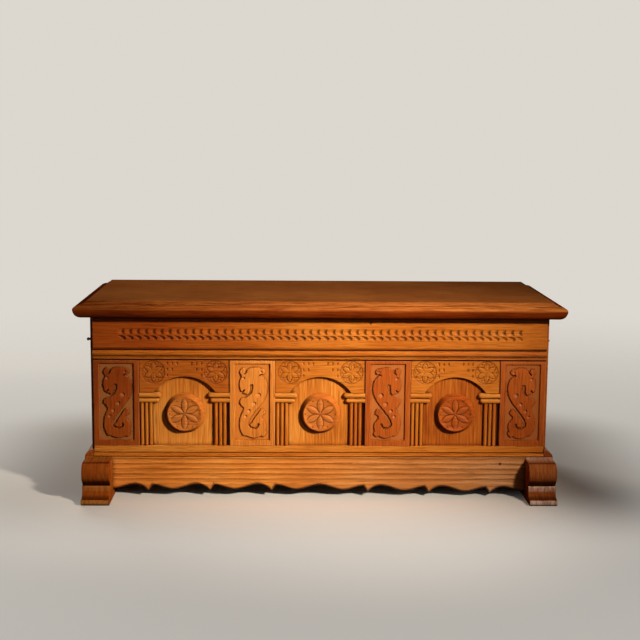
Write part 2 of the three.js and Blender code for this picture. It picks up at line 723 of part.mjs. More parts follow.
function bail() {
  const half = handlePostSpacing / 2;
  const shoulder = half + handleBallRadius + runningGap;
  const leg = shoulder + bailShoulder;
  const at = (y, z) => new THREE.Vector3(handlePivotReach, y, z);
  const path = new THREE.CurvePath();
  path.add(new THREE.LineCurve3(at(-half + bailEndLength, 0), at(-shoulder, 0)));
  path.add(new THREE.QuadraticBezierCurve3(at(-shoulder, 0), at(-leg, 0), at(-leg, -bailShoulder)));
  path.add(new THREE.LineCurve3(at(-leg, -bailShoulder), at(-leg, -bailLegLength)));
  path.add(new THREE.CubicBezierCurve3(
    at(-leg, -bailLegLength), at(-leg, -bailDrop), at(-bailSpread, -bailDrop), at(0, -bailDrop),
  ));
  path.add(new THREE.CubicBezierCurve3(
    at(0, -bailDrop), at(bailSpread, -bailDrop), at(leg, -bailDrop), at(leg, -bailLegLength),
  ));
  path.add(new THREE.LineCurve3(at(leg, -bailLegLength), at(leg, -bailShoulder)));
  path.add(new THREE.QuadraticBezierCurve3(at(leg, -bailShoulder), at(leg, 0), at(shoulder, 0)));
  path.add(new THREE.LineCurve3(at(shoulder, 0), at(half - bailEndLength, 0)));
  const section = new THREE.Shape().absarc(0, 0, bailRadius, 0, 2 * Math.PI, false);
  return new THREE.ExtrudeGeometry(section, {
    steps: bailSteps, curveSegments: bailSides / 2, extrudePath: path, bevelEnabled: false,
  });
}

function buildHandles() {
  const handleMiddle = facingThickness + carcaseDepth / 2;
  [[-1, 'left'], [1, 'right']].forEach(([side, name]) => {
    const handle = new THREE.Group();
    handle.position.set(side * carcaseHalf, handleMiddle, carcaseTop - handleBelowRim);
    handle.rotation.z = side > 0 ? 0 : Math.PI;
    carcase.add(handle);
    addPiece(handle, `${name}_handle_plate`, handlePlate(), blackIron);
    addPiece(handle, `${name}_handle_bail`, bail(), blackIron);
  });
}

buildCarcase();
buildLongFacings();
buildBays();
buildPlinth();
buildLid();
buildHinges();
buildHandles();

export default chest;
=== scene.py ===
# %% [markdown]
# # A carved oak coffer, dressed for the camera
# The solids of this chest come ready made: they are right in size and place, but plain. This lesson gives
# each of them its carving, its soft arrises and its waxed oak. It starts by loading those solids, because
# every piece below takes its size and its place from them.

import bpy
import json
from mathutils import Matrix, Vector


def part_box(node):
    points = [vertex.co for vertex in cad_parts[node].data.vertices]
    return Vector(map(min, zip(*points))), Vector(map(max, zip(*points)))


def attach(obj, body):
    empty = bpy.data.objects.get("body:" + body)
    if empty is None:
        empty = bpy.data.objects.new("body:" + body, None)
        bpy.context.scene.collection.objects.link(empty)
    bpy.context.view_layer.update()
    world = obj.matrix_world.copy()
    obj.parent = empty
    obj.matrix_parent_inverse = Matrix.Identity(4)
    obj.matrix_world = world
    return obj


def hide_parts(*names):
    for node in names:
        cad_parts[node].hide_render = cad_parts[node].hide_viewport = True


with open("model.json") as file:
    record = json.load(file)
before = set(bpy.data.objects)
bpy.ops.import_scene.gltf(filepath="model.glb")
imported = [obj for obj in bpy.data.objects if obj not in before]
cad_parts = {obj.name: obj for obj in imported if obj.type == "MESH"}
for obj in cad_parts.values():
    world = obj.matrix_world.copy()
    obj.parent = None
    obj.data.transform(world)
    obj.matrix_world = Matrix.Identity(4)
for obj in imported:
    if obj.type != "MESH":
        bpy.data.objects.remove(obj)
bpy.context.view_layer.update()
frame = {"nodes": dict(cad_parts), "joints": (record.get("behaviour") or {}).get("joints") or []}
print("pieces in the frame:", len(frame["nodes"]))

# %% [markdown]
# Blender works in metres and a joiner works in millimetres, so sizes are written as a number times `mm`.
# The modules are Blender's own, numpy for the carved surfaces, and json.

# %% Modules and units
import json
import math

import bmesh
import bpy
import numpy as np
from mathutils import Matrix, Vector

mm = 0.001
chance = np.random.default_rng(1680)
print("a metre holds", round(1 / mm), "of this lesson's units")

# %% [markdown]
# Colours are picked as sRGB hex values, as any colour picker shows them. Blender's shaders want linear light,
# so one function turns the one into the other.

# %% Colour


def linear(code):
    """Linear red, green, blue and alpha of an sRGB hex value such as "c9772f"."""
    shares = [int(code[i:i + 2], 16) / 255 for i in (0, 2, 4)]
    return (*[s / 12.92 if s <= 0.04045 else ((s + 0.055) / 1.055) ** 2.4 for s in shares], 1.0)


print("honey oak in linear light:", [round(c, 3) for c in linear("c9772f")])

# %% [markdown]
# A material is a small network. One helper adds a node, sets its properties and fills its sockets: a socket
# gets either a plain value or the output that feeds it.

# %% Add a node


def add(tree, kind, sockets=None, **settings):
    """Adds a node to a tree; sockets maps an input's name or number to a value or an output."""
    node = tree.nodes.new(kind)
    for name, value in settings.items():
        setattr(node, name, value)
    for key, value in (sockets or {}).items():
        if isinstance(value, bpy.types.NodeSocket):
            tree.links.new(value, node.inputs[key])
        else:
            node.inputs[key].default_value = value
    return node


print(add.__name__, "is ready:", add.__doc__)

# %% [markdown]
# A few kinds of network parts come up again and again, so each gets a short form: an empty material, one
# operation on numbers or on vectors, soft noise, a value spread over another range, and a mix of two colours.

# %% Short forms for materials


def new_material(name):
    """An empty material and its node tree."""
    material = bpy.data.materials.new(name)
    material.use_nodes = True
    material.node_tree.nodes.clear()
    return material, material.node_tree


def maths(tree, operation, *values):
    """The result of one operation on numbers."""
    return add(tree, "ShaderNodeMath", dict(enumerate(values)), operation=operation).outputs[0]


def vector(tree, operation, *values):
    """The result of one operation on vectors; a length is a number."""
    node = add(tree, "ShaderNodeVectorMath", dict(enumerate(values)), operation=operation)
    return node.outputs["Value" if operation == "LENGTH" else "Vector"]


def noise(tree, place, scale, detail, roughness=0.5):
    """Soft noise between 0 and 1."""
    sockets = {"Vector": place, "Scale": scale, "Detail": detail, "Roughness": roughness}
    return add(tree, "ShaderNodeTexNoise", sockets).outputs["Fac"]


def spread(tree, value, start, end, low=0.0, high=1.0, shape="LINEAR"):
    """Runs from low to high while the value runs from start to end, and stays level beyond."""
    sockets = {0: value, 1: start, 2: end, 3: low, 4: high}
    return add(tree, "ShaderNodeMapRange", sockets, interpolation_type=shape).outputs[0]


def mixed_colour(tree, share, first, second):
    """The first colour, with a share of the second mixed in."""
    return add(tree, "ShaderNodeMix", {0: share, 6: first, 7: second}, data_type="RGBA").outputs[2]


print("short forms:", [f.__name__ for f in (new_material, maths, vector, noise, spread, mixed_colour)])

# %% [markdown]
# The camera stands where the photographer stood: a little left of the middle, three metres in front of the
# panels and 0.9 m above the floor, looking slightly down through a long lens. It could be aimed with a
# constraint, but then it couldn't lean by half a degree as the real one does, so its matrix is built from
# three angles.

# %% Camera
camera_place = Vector((-75.9, -3222.1, 898.2)) * mm
heading, tilt, lean = 0.02425, 0.14703, 0.00802
lens, film = 70.59, 36.0

ahead = Vector((math.sin(heading) * math.cos(tilt), math.cos(heading) * math.cos(tilt), -math.sin(tilt)))
level = Vector((math.cos(heading), -math.sin(heading), 0.0))
upright = level.cross(ahead)
side = math.cos(lean) * level + math.sin(lean) * upright
crown = math.cos(lean) * upright - math.sin(lean) * level

camera = bpy.data.objects.new("camera", bpy.data.cameras.new("camera"))
bpy.context.scene.collection.objects.link(camera)
camera.matrix_world = Matrix.Translation(camera_place) @ Matrix((side, crown, -ahead)).transposed().to_4x4()
camera.data.lens = lens
camera.data.sensor_width = film
camera.data.dof.use_dof = False
bpy.context.scene.camera = camera
bpy.context.scene.view_settings.view_transform = "Standard"
print("camera stands at", [round(c, 3) for c in camera.location])

# %% [markdown]
# The light is a plain studio: an even pale sky, one soft lamp on the right, and a weak one on the left. In
# the photograph shadows fall to the left and a little down, which is what makes the carving read and leaves
# the lid darker than the front, so the right-hand lamp stands low and carries most of the light. A third
# lamp stands behind the chest and lights its back, for pictures that are taken from there. The sky shows a
# paler tone to the camera and to reflections than the light that it sheds.

# %% Sky and lamps
sky_light, sky_tone, sky_look = 0.022, "fff6ea", "dcd7cf"
chest_middle = Vector((-0.19, 0.0, 0.15))

world = bpy.data.worlds.new("studio")
bpy.context.scene.world = world
world.use_nodes = True
sky = world.node_tree
sky.nodes.clear()


def looked_at(tree):
    """1 for rays that look, straight or by a shine or through glass, and 0 for rays that light things."""
    rays = add(tree, "ShaderNodeLightPath").outputs
    looks = maths(tree, "MAXIMUM", rays["Is Camera Ray"], rays["Is Glossy Ray"])
    return maths(tree, "MAXIMUM", looks, rays["Is Transmission Ray"])


shed = add(sky, "ShaderNodeBackground", {"Color": linear(sky_tone), "Strength": sky_light})
shown = add(sky, "ShaderNodeBackground", {"Color": linear(sky_look), "Strength": 1.0})
both = add(sky, "ShaderNodeMixShader", {0: looked_at(sky), 1: shed.outputs[0], 2: shown.outputs[0]})
add(sky, "ShaderNodeOutputWorld", {0: both.outputs[0]})


def soft_lamp(name, place, width, power, tone, beam=180):
    """A square lamp that looks at the middle of the chest; a narrow beam falls off towards its edge."""
    lamp = bpy.data.objects.new(name, bpy.data.lights.new(name, "AREA"))
    bpy.context.scene.collection.objects.link(lamp)
    lamp.data.size = width
    lamp.data.energy = power
    lamp.data.spread = math.radians(beam)
    lamp.data.color = linear(tone)[:3]
    lamp.location = place
    lamp.rotation_euler = (chest_middle - Vector(place)).to_track_quat("-Z", "Y").to_euler()


soft_lamp("key_lamp", place=(1.25, -1.75, 1.3), width=0.18, power=4.2, tone="fff1e0", beam=40)
soft_lamp("fill_lamp", place=(-2.6, -2.6, 1.5), width=1.8, power=0.15, tone="f3f4ff")
soft_lamp("back_lamp", place=(-1.2, 3.0, 2.4), width=1.6, power=50, tone="fff8f0")

# %% [markdown]
# The floor is a plain pale disc that fades into the sky at its rim, so that no horizon shows behind the
# chest. To the light it is a darker floor, or its glow from below would fill every hollow of the carving. To
# the eye part of its paleness is its own away from the chest, so that it stays pale where the lamp's beam
# ends; under and beside the chest it takes the whole shadow.

# %% Floor
floor_radius = 9.0
fade_start, fade_end = 0.9, 3.6
stand_middle, stand_half = (0.0, 0.175, 0.0), (0.6, 0.26, 0.1)
own_start, own_full, own_paleness = 0.02, 0.5, 0.6
lighting_tone, seen_tone = "3a342e", "f1ede6"

bpy.ops.mesh.primitive_circle_add(vertices=96, radius=floor_radius, fill_type="NGON")
floor = bpy.context.object
floor.name = "studio_floor"

pale, paint = new_material("pale studio floor")
spot = add(paint, "ShaderNodeTexCoord").outputs["Object"]
beside = vector(paint, "ABSOLUTE", vector(paint, "SUBTRACT", spot, stand_middle))
beside = vector(paint, "MAXIMUM", vector(paint, "SUBTRACT", beside, stand_half), (0, 0, 0))
off = vector(paint, "LENGTH", beside)
fade = spread(paint, vector(paint, "LENGTH", spot), fade_start, fade_end, shape="SMOOTHSTEP")
seen = looked_at(paint)
cloth = mixed_colour(paint, seen, linear(lighting_tone), linear(seen_tone))
matt = add(paint, "ShaderNodeBsdfPrincipled", {"Base Color": cloth, "Roughness": 0.9})
beyond = spread(paint, off, own_start, own_full, high=own_paleness, shape="SMOOTHSTEP")
own_share = maths(paint, "MULTIPLY", seen, beyond)
own = add(paint, "ShaderNodeEmission", {"Color": linear(sky_look), "Strength": 1.0})
ground = add(paint, "ShaderNodeMixShader", {0: own_share, 1: matt.outputs[0], 2: own.outputs[0]})
clear = add(paint, "ShaderNodeBsdfTransparent")
blend = add(paint, "ShaderNodeMixShader", {0: fade, 1: ground.outputs[0], 2: clear.outputs[0]})
add(paint, "ShaderNodeOutputMaterial", {0: blend.outputs[0]})
floor.data.materials.append(pale)
print("floor radius:", floor_radius, "m")

# %% [markdown]
# ## Oak
# The whole chest is oak, sawn, planed, stained and waxed. Three things make planed oak look like oak: growth
# rings a few millimetres apart, fine streaks along the grain, and pores, which are short dark dashes. A photo
# texture would slide over the carving and repeat, so the figure is worked out in space instead, as it is in
# a real board: stretched along the grain, and cut by whatever surface the carver left.
#
# The rings and pores of real oak are finer than a pixel of this view, so both are drawn several times as
# coarse as the real ones. The occlusion node and the carved pieces' own attribute `hollow` darken corners,
# cuts and hollows: in part dust in the wax and dark joints, in part painted shade. The attribute `rubbed`
# lightens the arrises that hands and dusters reach, and on some slopes that face the lamp it is a painted
# highlight. Waxed wood shines less than varnished wood, so its specular level stays low.

# %% Waxed oak
grain_order = {"x": (0, 2, 1), "y": (1, 0, 2), "z": (2, 0, 1), "top": (0, 1, 2), "end": (1, 0, 2)}
ring_spacing = 9 * mm
wave_length = 2 * math.pi / 20
drawn_out, end_drawn_out = (0.05, 1.0, 0.25), (0.05, 0.9, 0.22)
sway_scale, sway_reach = 2.2, (0, 0.09, 0.05)
patch_scale, patch_share, streak_share = 5.0, 0.6, 0.7
pore_start, pore_full, pore_pit = 0.56, 0.70, -1.6
lighten_start, lighten_full, lighten_least = 0.38, 0.58, 0.35
# the occlusion node darkens corners and hollows: partly dust in the wax, partly painted shade
occlusion_reach, occlusion_start, occlusion_full, occlusion_share = 14 * mm, 0.82, 0.28, 0.86
polished_by, dulled_by = 0.07, 0.09
skin_height, skin_strength, wax_ior = 0.35 * mm, 0.6, 1.45


def oak(name, tones, grain, roughness=0.44, ring_share=0.10, hollow_tone="260c03", ground_tone=None,
        wear_and_highlight_tone=None, shine=0.1, streak_width=3.2 * mm, contrast=0.36, pore_width=2 * mm, pore_share=0.35,
        second=None):
    """Oak with its grain along x, y, z, along x seen from the top, or with end grain to the front; tones run
    from dark to light, and second names two places along x, between which other tones take over."""
    material, tree = new_material(name)
    place = add(tree, "ShaderNodeTexCoord").outputs["Object"]
    parts = add(tree, "ShaderNodeSeparateXYZ", {0: place}).outputs
    along, across, deep = [parts[i] for i in grain_order[grain]]
    far = [float(v) for v in chance.uniform(-3, 3, 3)]
    laid = add(tree, "ShaderNodeCombineXYZ", {0: along, 1: across, 2: deep}).outputs[0]
    moved = vector(tree, "ADD", laid, far)
    drawn = vector(tree, "MULTIPLY", moved, end_drawn_out if grain == "end" else drawn_out)

    # the rings wander slowly and keep unequal distances
    sway = vector(tree, "MULTIPLY", noise(tree, moved, sway_scale, 2.0), sway_reach)
    rings = add(tree, "ShaderNodeTexWave", {
        "Vector": vector(tree, "ADD", drawn, sway), "Scale": wave_length / ring_spacing, "Distortion": 2.6,
        "Detail": 2.0, "Detail Scale": 0.6, "Detail Roughness": 0.55,
    }, wave_type="BANDS", bands_direction="Y", wave_profile="SAW").outputs["Fac"]
    streaks = noise(tree, drawn, 1 / streak_width, 4.0, 0.62)
    pores = noise(tree, drawn, 1 / pore_width, 1.0, 0.4)
    patches = noise(tree, moved, patch_scale, 2.0)

    mixed = 0.0
    for part, share in ((rings, ring_share), (streaks, streak_share), (patches, patch_share)):
        mixed = maths(tree, "MULTIPLY_ADD", part, share, mixed)
    middle = (ring_share + streak_share + patch_share) / 2
    figure = spread(tree, mixed, middle - contrast, middle + contrast)

    def ramp(tones):
        """Colours the figure from dark to light."""
        tone = add(tree, "ShaderNodeValToRGB", {0: figure})
        tone.color_ramp.elements.new(0.5)
        for stop, code in zip(tone.color_ramp.elements, tones):
            stop.color = linear(code)
        return tone.outputs["Color"]

    def tinted(colour, share, tone):
        """Mixes a tone into the colour by a share that varies over the surface."""
        return mixed_colour(tree, share, colour, linear(tone) if isinstance(tone, str) else tone)

    def mark(name):
        """The value that a carved piece carries under this name; 0 where it has none."""
        return add(tree, "ShaderNodeAttribute", attribute_name=name).outputs["Fac"]

    colour = ramp(tones)
    if second:
        colour = tinted(colour, spread(tree, parts[0], second[0], second[1]), ramp(second[2]))
    dashes = spread(tree, pores, pore_start, pore_full, high=pore_share)
    colour = tinted(colour, dashes, hollow_tone)
    if ground_tone:
        colour = tinted(colour, mark("ground"), ground_tone)
    # the rubbed mark lightens worn arrises, and on slopes that face the lamp it is a painted highlight
    uneven = spread(tree, streaks, lighten_start, lighten_full, low=lighten_least)
    colour = tinted(colour, maths(tree, "MULTIPLY", mark("rubbed"), uneven), wear_and_highlight_tone or tones[-1])
    # painted shade in corners and hollows from the occlusion node, then the hollow mark: dust, dark joints
    # and more painted shade
    open_sky = add(tree, "ShaderNodeAmbientOcclusion", {"Distance": occlusion_reach}, samples=8).outputs["AO"]
    colour = tinted(colour, spread(tree, open_sky, occlusion_start, occlusion_full, high=occlusion_share), hollow_tone)
    colour = tinted(colour, mark("hollow"), hollow_tone)

    polish = spread(tree, streaks, 0.0, 1.0, roughness - polished_by, roughness + dulled_by)
    raised = maths(tree, "MULTIPLY_ADD", dashes, pore_pit, streaks)
    sockets = {"Height": raised, "Distance": skin_height, "Strength": skin_strength}
    skin = add(tree, "ShaderNodeBump", sockets).outputs[0]
    surface = add(tree, "ShaderNodeBsdfPrincipled", {
        "Base Color": colour, "Roughness": polish, "Normal": skin, "IOR": wax_ior,
        "Specular IOR Level": shine,
    })
    add(tree, "ShaderNodeOutputMaterial", {0: surface.outputs[0]})
    return material


print("ways that the grain can run:", ", ".join(grain_order))

# %% [markdown]
# The boards weren't stained alike. The long boards, arches and niches are honey oak; the pilaster panels and
# bosses were stained redder; the feet and the lid are a deeper brown; and the boards that nobody sees were
# left bare. Each board gets its own material, so that no figure runs on from one board into the next.

# %% Tones, from dark to light
honey = ("9c4a0c", "c46d20", "dc8e38")
pale_honey = ("ac5d1c", "d07c2c", "e69c46")
deep_honey = ("8a3d0e", "b35c1a", "cc7a2e")
red_honey = ("8a360a", "ab4e14", "c56a20")
bright_honey = ("b05c1c", "dc8434", "f0a552")
rubbed_honey = ("98582c", "bd7a42", "d6a070")
bright_brown = ("66290a", "9a4a16", "be7430")
red = ("87340a", "b0531a", "c86c2a")
dark_red = ("702a08", "9a4412", "b25e22")
golden_red = ("9c4a14", "c46c28", "d98a3e")
cool_brown = ("632e14", "92481f", "b4723c")
lid_brown = ("6f3c14", "99582a", "b57236")
lid_edge = ("481904", "7c300a", "a04e16")
bare = ("a1733f", "bf9259", "d3aa72")
print("honey oak runs from", honey[0], "to", honey[2])

# %% [markdown]
# ## Making meshes
# Most pieces here are one of two things. A moulding is a section that is swept along a line: rings of points
# joined by quads, with a cap at each end. A carved board is a grid of points whose depth is worked out place
# by place, closed by walls and a flat back. Small functions make these, and one turns points and faces into
# an object with smooth curves and crisp arrises.

# %% Points and faces into a piece


def make_piece(name, points, faces, marks=None, crisp=38):
    """An object from points and faces; marks are named values for the points, such as hollow, and crisp is
    the angle in degrees from which an edge stays sharp."""
    mesh = bpy.data.meshes.new(name)
    mesh.from_pydata(np.asarray(points).tolist(), [], faces)
    for mark, values in (marks or {}).items():
        mesh.attributes.new(mark, "FLOAT", "POINT").data.foreach_set("value", np.asarray(values, np.float32))
    shape = bmesh.new()
    shape.from_mesh(mesh)
    bmesh.ops.recalc_face_normals(shape, faces=shape.faces)
    shape.to_mesh(mesh)
    shape.free()
    mesh.shade_smooth()
    mesh.set_sharp_from_angle(angle=math.radians(crisp))
    piece = bpy.data.objects.new(name, mesh)
    bpy.context.scene.collection.objects.link(piece)
    return piece


def swept(name, rings, marks=None, crisp=38):
    """A closed piece from equal rings of points: quads between them and a cap on the first and the last."""
    rings = np.asarray(rings, float)
    count, size = rings.shape[:2]
    index = np.arange(count * size).reshape(count, size)
    after = np.roll(index, -1, axis=1)
    sides = np.stack([index[:-1], after[:-1], after[1:], index[1:]], -1).reshape(-1, 4)
    faces = [*sides.tolist(), index[0].tolist(), index[-1].tolist()]
    marks = {mark: np.broadcast_to(values, (count, size)).ravel() for mark, values in (marks or {}).items()}
    return make_piece(name, rings.reshape(-1, 3), faces, marks, crisp)


def backed_grid(shape):
    """Faces for a grid of points with walls and a back, and its rim: those points come once more, behind."""
    index = np.arange(math.prod(shape)).reshape(shape)
    quads = np.stack([index[:-1, :-1], index[:-1, 1:], index[1:, 1:], index[1:, :-1]], -1).reshape(-1, 4)
    rim = np.concatenate([index[0, :-1], index[:-1, -1], index[-1, :0:-1], index[:0:-1, 0]])
    ring = index.size + np.arange(len(rim))
    walls = np.stack([rim, ring, np.roll(ring, -1), np.roll(rim, -1)], -1)
    return [*quads.tolist(), *walls.tolist(), ring.tolist()], rim


def carved(name, x, y, z, back, marks=None, crisp=38):
    """A closed board from a grid of front points, with a flat back at Y = back."""
    faces, rim = backed_grid(x.shape)
    front = np.stack([x, y, z], -1).reshape(-1, 3)
    behind = front[rim].copy()
    behind[:, 1] = back
    marks = {mark: np.concatenate([v.ravel(), v.ravel()[rim]]) for mark, v in (marks or {}).items()}
    return make_piece(name, np.concatenate([front, behind]), faces, marks, crisp)


print("a board of 3 by 4 points gets", len(backed_grid((3, 4))[0]), "faces")

# %% [markdown]
# A piece that is ready gets its finish, rides on its body, and stands in for the plain solid that it
# replaces. Plain boards keep their own solid: they only need a finish and a softened arris, because no plane
# leaves an edge sharp. The solids arrive with split corners, so they are welded before they are bevelled.

# %% Fitting a piece
new_pieces = []


def soften(piece, width=0.8 * mm, steps=2, weld=False):
    """Rounds the arrises of a piece by a few tenths of a millimetre."""
    if weld:
        piece.modifiers.new("weld", "WELD").merge_threshold = 0.01 * mm
    arris = piece.modifiers.new("arris", "BEVEL")
    arris.width = width
    arris.segments = steps
    arris.limit_method = "ANGLE"
    arris.angle_limit = math.radians(35)
    return piece


def fit(piece, finish, slot, *stands_for, body="carcase"):
    """Gives a new piece its finish, its body and the solids that it stands for."""
    piece.data.materials.append(finish)
    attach(piece, body)
    if stands_for:
        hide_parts(*stands_for)
    new_pieces.append(piece.name)
    return piece


def keep(node, finish, width=0.8 * mm):
    """Keeps a plain solid, with a finish and soft arrises."""
    solid = frame["nodes"][node]
    solid.data.materials.clear()
    solid.data.materials.append(finish)
    return soften(solid, width, weld=True)


print("plain solids that wait for a finish:", len(frame["nodes"]))

# %% [markdown]
# Curves are drawn as a maker would: arcs of a compass, bows between two points, and a smooth line through a
# few given points.

# %% Curves


def arc(centre, radius, start, end, steps=12):
    """Points on a circle between two angles in degrees."""
    turns = np.radians(np.linspace(start, end, steps + 1))
    return [(centre[0] + radius * math.cos(t), centre[1] + radius * math.sin(t)) for t in turns]


def bow(start, pull, end, steps=10):
    """A bow from start to end, drawn towards pull."""
    t = np.linspace(0, 1, steps + 1)[:, None]
    points = (1 - t) ** 2 * np.array(start) + 2 * t * (1 - t) * np.array(pull) + t ** 2 * np.array(end)
    return [tuple(p) for p in points]


def through(points, closed=False, steps=6):
    """A smooth line through given points; a third number, such as a half width, is smoothed too."""
    p = np.array(points, float)
    count = len(p)
    line = []
    for i in range(count if closed else count - 1):
        if closed:
            a, b, c, d = [p[(i + k) % count] for k in (-1, 0, 1, 2)]
        else:
            a, b, c, d = p[max(i - 1, 0)], p[i], p[i + 1], p[min(i + 2, count - 1)]
        for t in np.arange(steps) / steps:
            line.append(b + 0.5 * t * (c - a + t * (2 * a - 5 * b + 4 * c - d + t * (3 * (b - c) + d - a))))
    if not closed:
        line.append(p[-1])
    return np.array(line)


halfway = bow((0, 0), (0, 1), (1, 1))[5]
print("a bow round the corner of a unit square passes", [round(float(c), 2) for c in halfway])

# %% [markdown]
# Carving is worked out as depth below the planed face. These helpers say how far a place lies inside an
# outline or inside a gouge stroke, and ease a step so that it has a slope and not a cliff.

# %% Carving helpers


def ease(t):
    """0 below 0, 1 above 1, and a soft slope between."""
    t = np.clip(t, 0, 1)
    return t * t * (3 - 2 * t)


def inside_by(x, z, outline):
    """How far each place lies inside a closed outline; outside, the distance is negative."""
    nearest = np.full(x.shape, np.inf)
    within = np.zeros(x.shape, bool)
    for (ax, az), (bx, bz) in zip(outline, np.roll(outline, -1, axis=0)):
        ex, ez = bx - ax, bz - az
        t = np.clip(((x - ax) * ex + (z - az) * ez) / (ex * ex + ez * ez), 0, 1)
        nearest = np.minimum(nearest, np.hypot(x - ax - t * ex, z - az - t * ez))
        if az != bz:
            within ^= ((az > z) != (bz > z)) & (x < ax + (z - az) / ez * ex)
    return np.where(within, nearest, -nearest)


def stroke(x, z, path):
    """How far each place lies inside a gouge stroke; each row of the path is a place and a half width."""
    best = np.full(x.shape, -np.inf)
    for a, b in zip(path[:-1], path[1:]):
        ex, ez = b[0] - a[0], b[1] - a[1]
        t = np.clip(((x - a[0]) * ex + (z - a[1]) * ez) / (ex * ex + ez * ez), 0, 1)
        best = np.maximum(best, a[2] + t * (b[2] - a[2]) - np.hypot(x - a[0] - t * ex, z - a[1] - t * ez))
    return best


def lines(low, high, step, arris=0.9 * mm):
    """Grid lines from low to high, with a few close ones at both ends for the arris."""
    inner = np.linspace(low + arris, high - arris, max(2, round((high - low) / step)))
    near = low + arris * np.array([0, 0.15, 0.5])
    return np.concatenate([near, inner, high + low - near[::-1]])


def arris_drop(distance, radius=0.9 * mm):
    """How far a rounded edge falls back at a distance from the edge."""
    t = np.clip(1 - distance / radius, 0, 1)
    return radius * (1 - np.sqrt(1 - t * t))


def from_sides(x, z, left, right, bottom, top):
    """How far a place lies inside the nearest side of a rectangle."""
    return np.minimum(np.minimum(x - left, right - x), np.minimum(z - bottom, top - z))


def chisel_marks(shape, height):
    """The slight unevenness that a chisel leaves on a surface, one value for each place."""
    rough = chance.normal(0, 1, shape)
    for axis in (0, 1):
        rough = (np.roll(rough, 1, axis) + 2 * rough + np.roll(rough, -1, axis)) / 4
    return height * rough


print("an arris of 0.9 mm falls back at its edge by", round(float(arris_drop(0)) / mm, 2), "mm")

# %% [markdown]
# ## The four pilaster panels
# Each panel is a board with a sunk field, in which a flat scroll stands up to the level of its border. A
# carver draws the scroll, cuts down along the line and lowers the ground, which is left rough from the
# punch. The scroll is a fat S that ends in a volute, with a line of four leaf-shaped chips along its back
# and two more in its head. It could be modelled as separate solids, but real low relief is one board, so it
# is a grid with depths.
#
# The outline is given in millimetres from the lower left corner of the field. The two panels on the left
# carry it mirrored.

# %% The scroll
scroll_outline = [
    (20.3, 167.5), (15, 161.5), (9.5, 154.5), (6.2, 144), (5.4, 131), (8, 116.4), (15.3, 101), (25.9, 86.4),
    (36.9, 72.5), (46.4, 59.5), (53, 48), (53.6, 41), (50.4, 38), (46.4, 42), (42, 49.5), (37, 57.5),
    (31, 66), (25, 75), (19, 79.4), (13.7, 75.8), (12, 68.5), (15.8, 63), (20.6, 60), (20, 54.6), (14.8, 48),
    (9.8, 40), (9, 30), (11.4, 21.5), (7.6, 16.3), (10.6, 9.8), (16.2, 4.8), (22.2, 7.9), (29.8, 3.7),
    (40.8, 2.3), (51.9, 4.5), (59, 8.2), (66.4, 8.2), (71.6, 15.5), (75.9, 28.5), (77, 43), (74.7, 57.8),
    (70, 70.8), (66.6, 79.8), (71, 86.5), (76.3, 94), (75.8, 102), (70.8, 106.8), (62, 108.4),
    (55.6, 113.6), (62, 118.8), (70.4, 121.8), (75.5, 131), (77.4, 144), (75.5, 156), (71.8, 164.5),
    (76.3, 173.4), (74.7, 181.5), (68.4, 185.6), (63, 182.5), (59.6, 175.5), (53.5, 184.2), (42.4, 187.5),
    (32, 187), (22, 184.6), (14.4, 182.2), (11.6, 176.4), (14.2, 170.6),
]
volute = [
    (53.2, 42, 2.3), (52.4, 36, 2.1), (48.4, 31.2, 2.0), (41.8, 28.8, 1.9), (34.8, 29.6, 1.8),
    (30, 33.4, 1.8), (28.6, 39, 2.2),
]
hook = [(46.6, 139.5, 4.2), (46.9, 132, 3.9), (48.6, 125, 3.0), (51.6, 119, 2.2), (56, 114.4, 1.8)]
small_cuts = [
    [(65, 128.5, 1.1), (69.5, 123.5, 1.8)],
    [(61, 181, 1.2), (60.6, 175, 1.7), (64.4, 170, 1.3)],
    [(26.5, 166.5, 0.8), (20.5, 169.5, 1.5)],
]
leaf_chips = [(27.6, 116, 8.2, 5.6), (39.3, 93, 7.4, 5.0), (52.8, 74.5, 6.2, 4.3), (61.4, 59.5, 5.4, 3.8),
              (21, 175.5, 4.4, 3.4), (67, 159.5, 5, 3.6)]
print("points in the scroll:", len(scroll_outline))

# %% [markdown]
# A leaf-shaped chip is struck from the lower left: a long slope that ends at a steep wall on the upper right.
# The slope is lightened as a painted highlight and the wall darkened as painted shade; a faint painted shade
# also runs along the foot of the scroll and round the edge of the field. The grid has its points a millimetre
# apart in the field, where the carving is, and three on the plain border.

# %% A carved panel
field_sides, field_top, field_bottom, field_depth = 12 * mm, 7.5 * mm, 13 * mm, 4.6 * mm
border_step, field_step, field_arris = 3 * mm, 1.0 * mm, 0.3 * mm
scroll_middle, scroll_size, scroll_sink = (42.5, 95), 0.96, 0.6
slope_width, wall_width = 1.7, 2.2 * mm
scroll_drop, scroll_waver = 0.25 * mm, 0.9
scroll_line, line_depth = 1.6, 0.5 * mm
punch_marks, chip_depth, chip_wall = 0.2 * mm, 3.2 * mm, 1.4
rim_width, rub_width = 1.6 * mm, 1.5 * mm


def leaf_chip(u, v, chip, turn):
    """Depth share of one chip, with the shares of the painted highlight on its slope and the painted shade on
    its wall.
    """
    cu, cv, half_length, half_width = chip
    along = (turn * (u - cu) + v - cv) / math.sqrt(2)
    aside = (turn * (u - cu) - v + cv) / math.sqrt(2)
    room = np.clip(1 - (aside / half_width) ** 2, 0, 1)
    end = half_length * (0.15 + 0.35 * room)
    slope = np.clip((along + half_length) / (end + half_length), 0, 1)
    wall = ease((end - along) / chip_wall + 0.3)
    deep = slope * wall * room ** 0.5
    return deep, 0.6 * deep * (wall > 0.8), ease(2 - np.abs(along - end) / chip_wall) * room


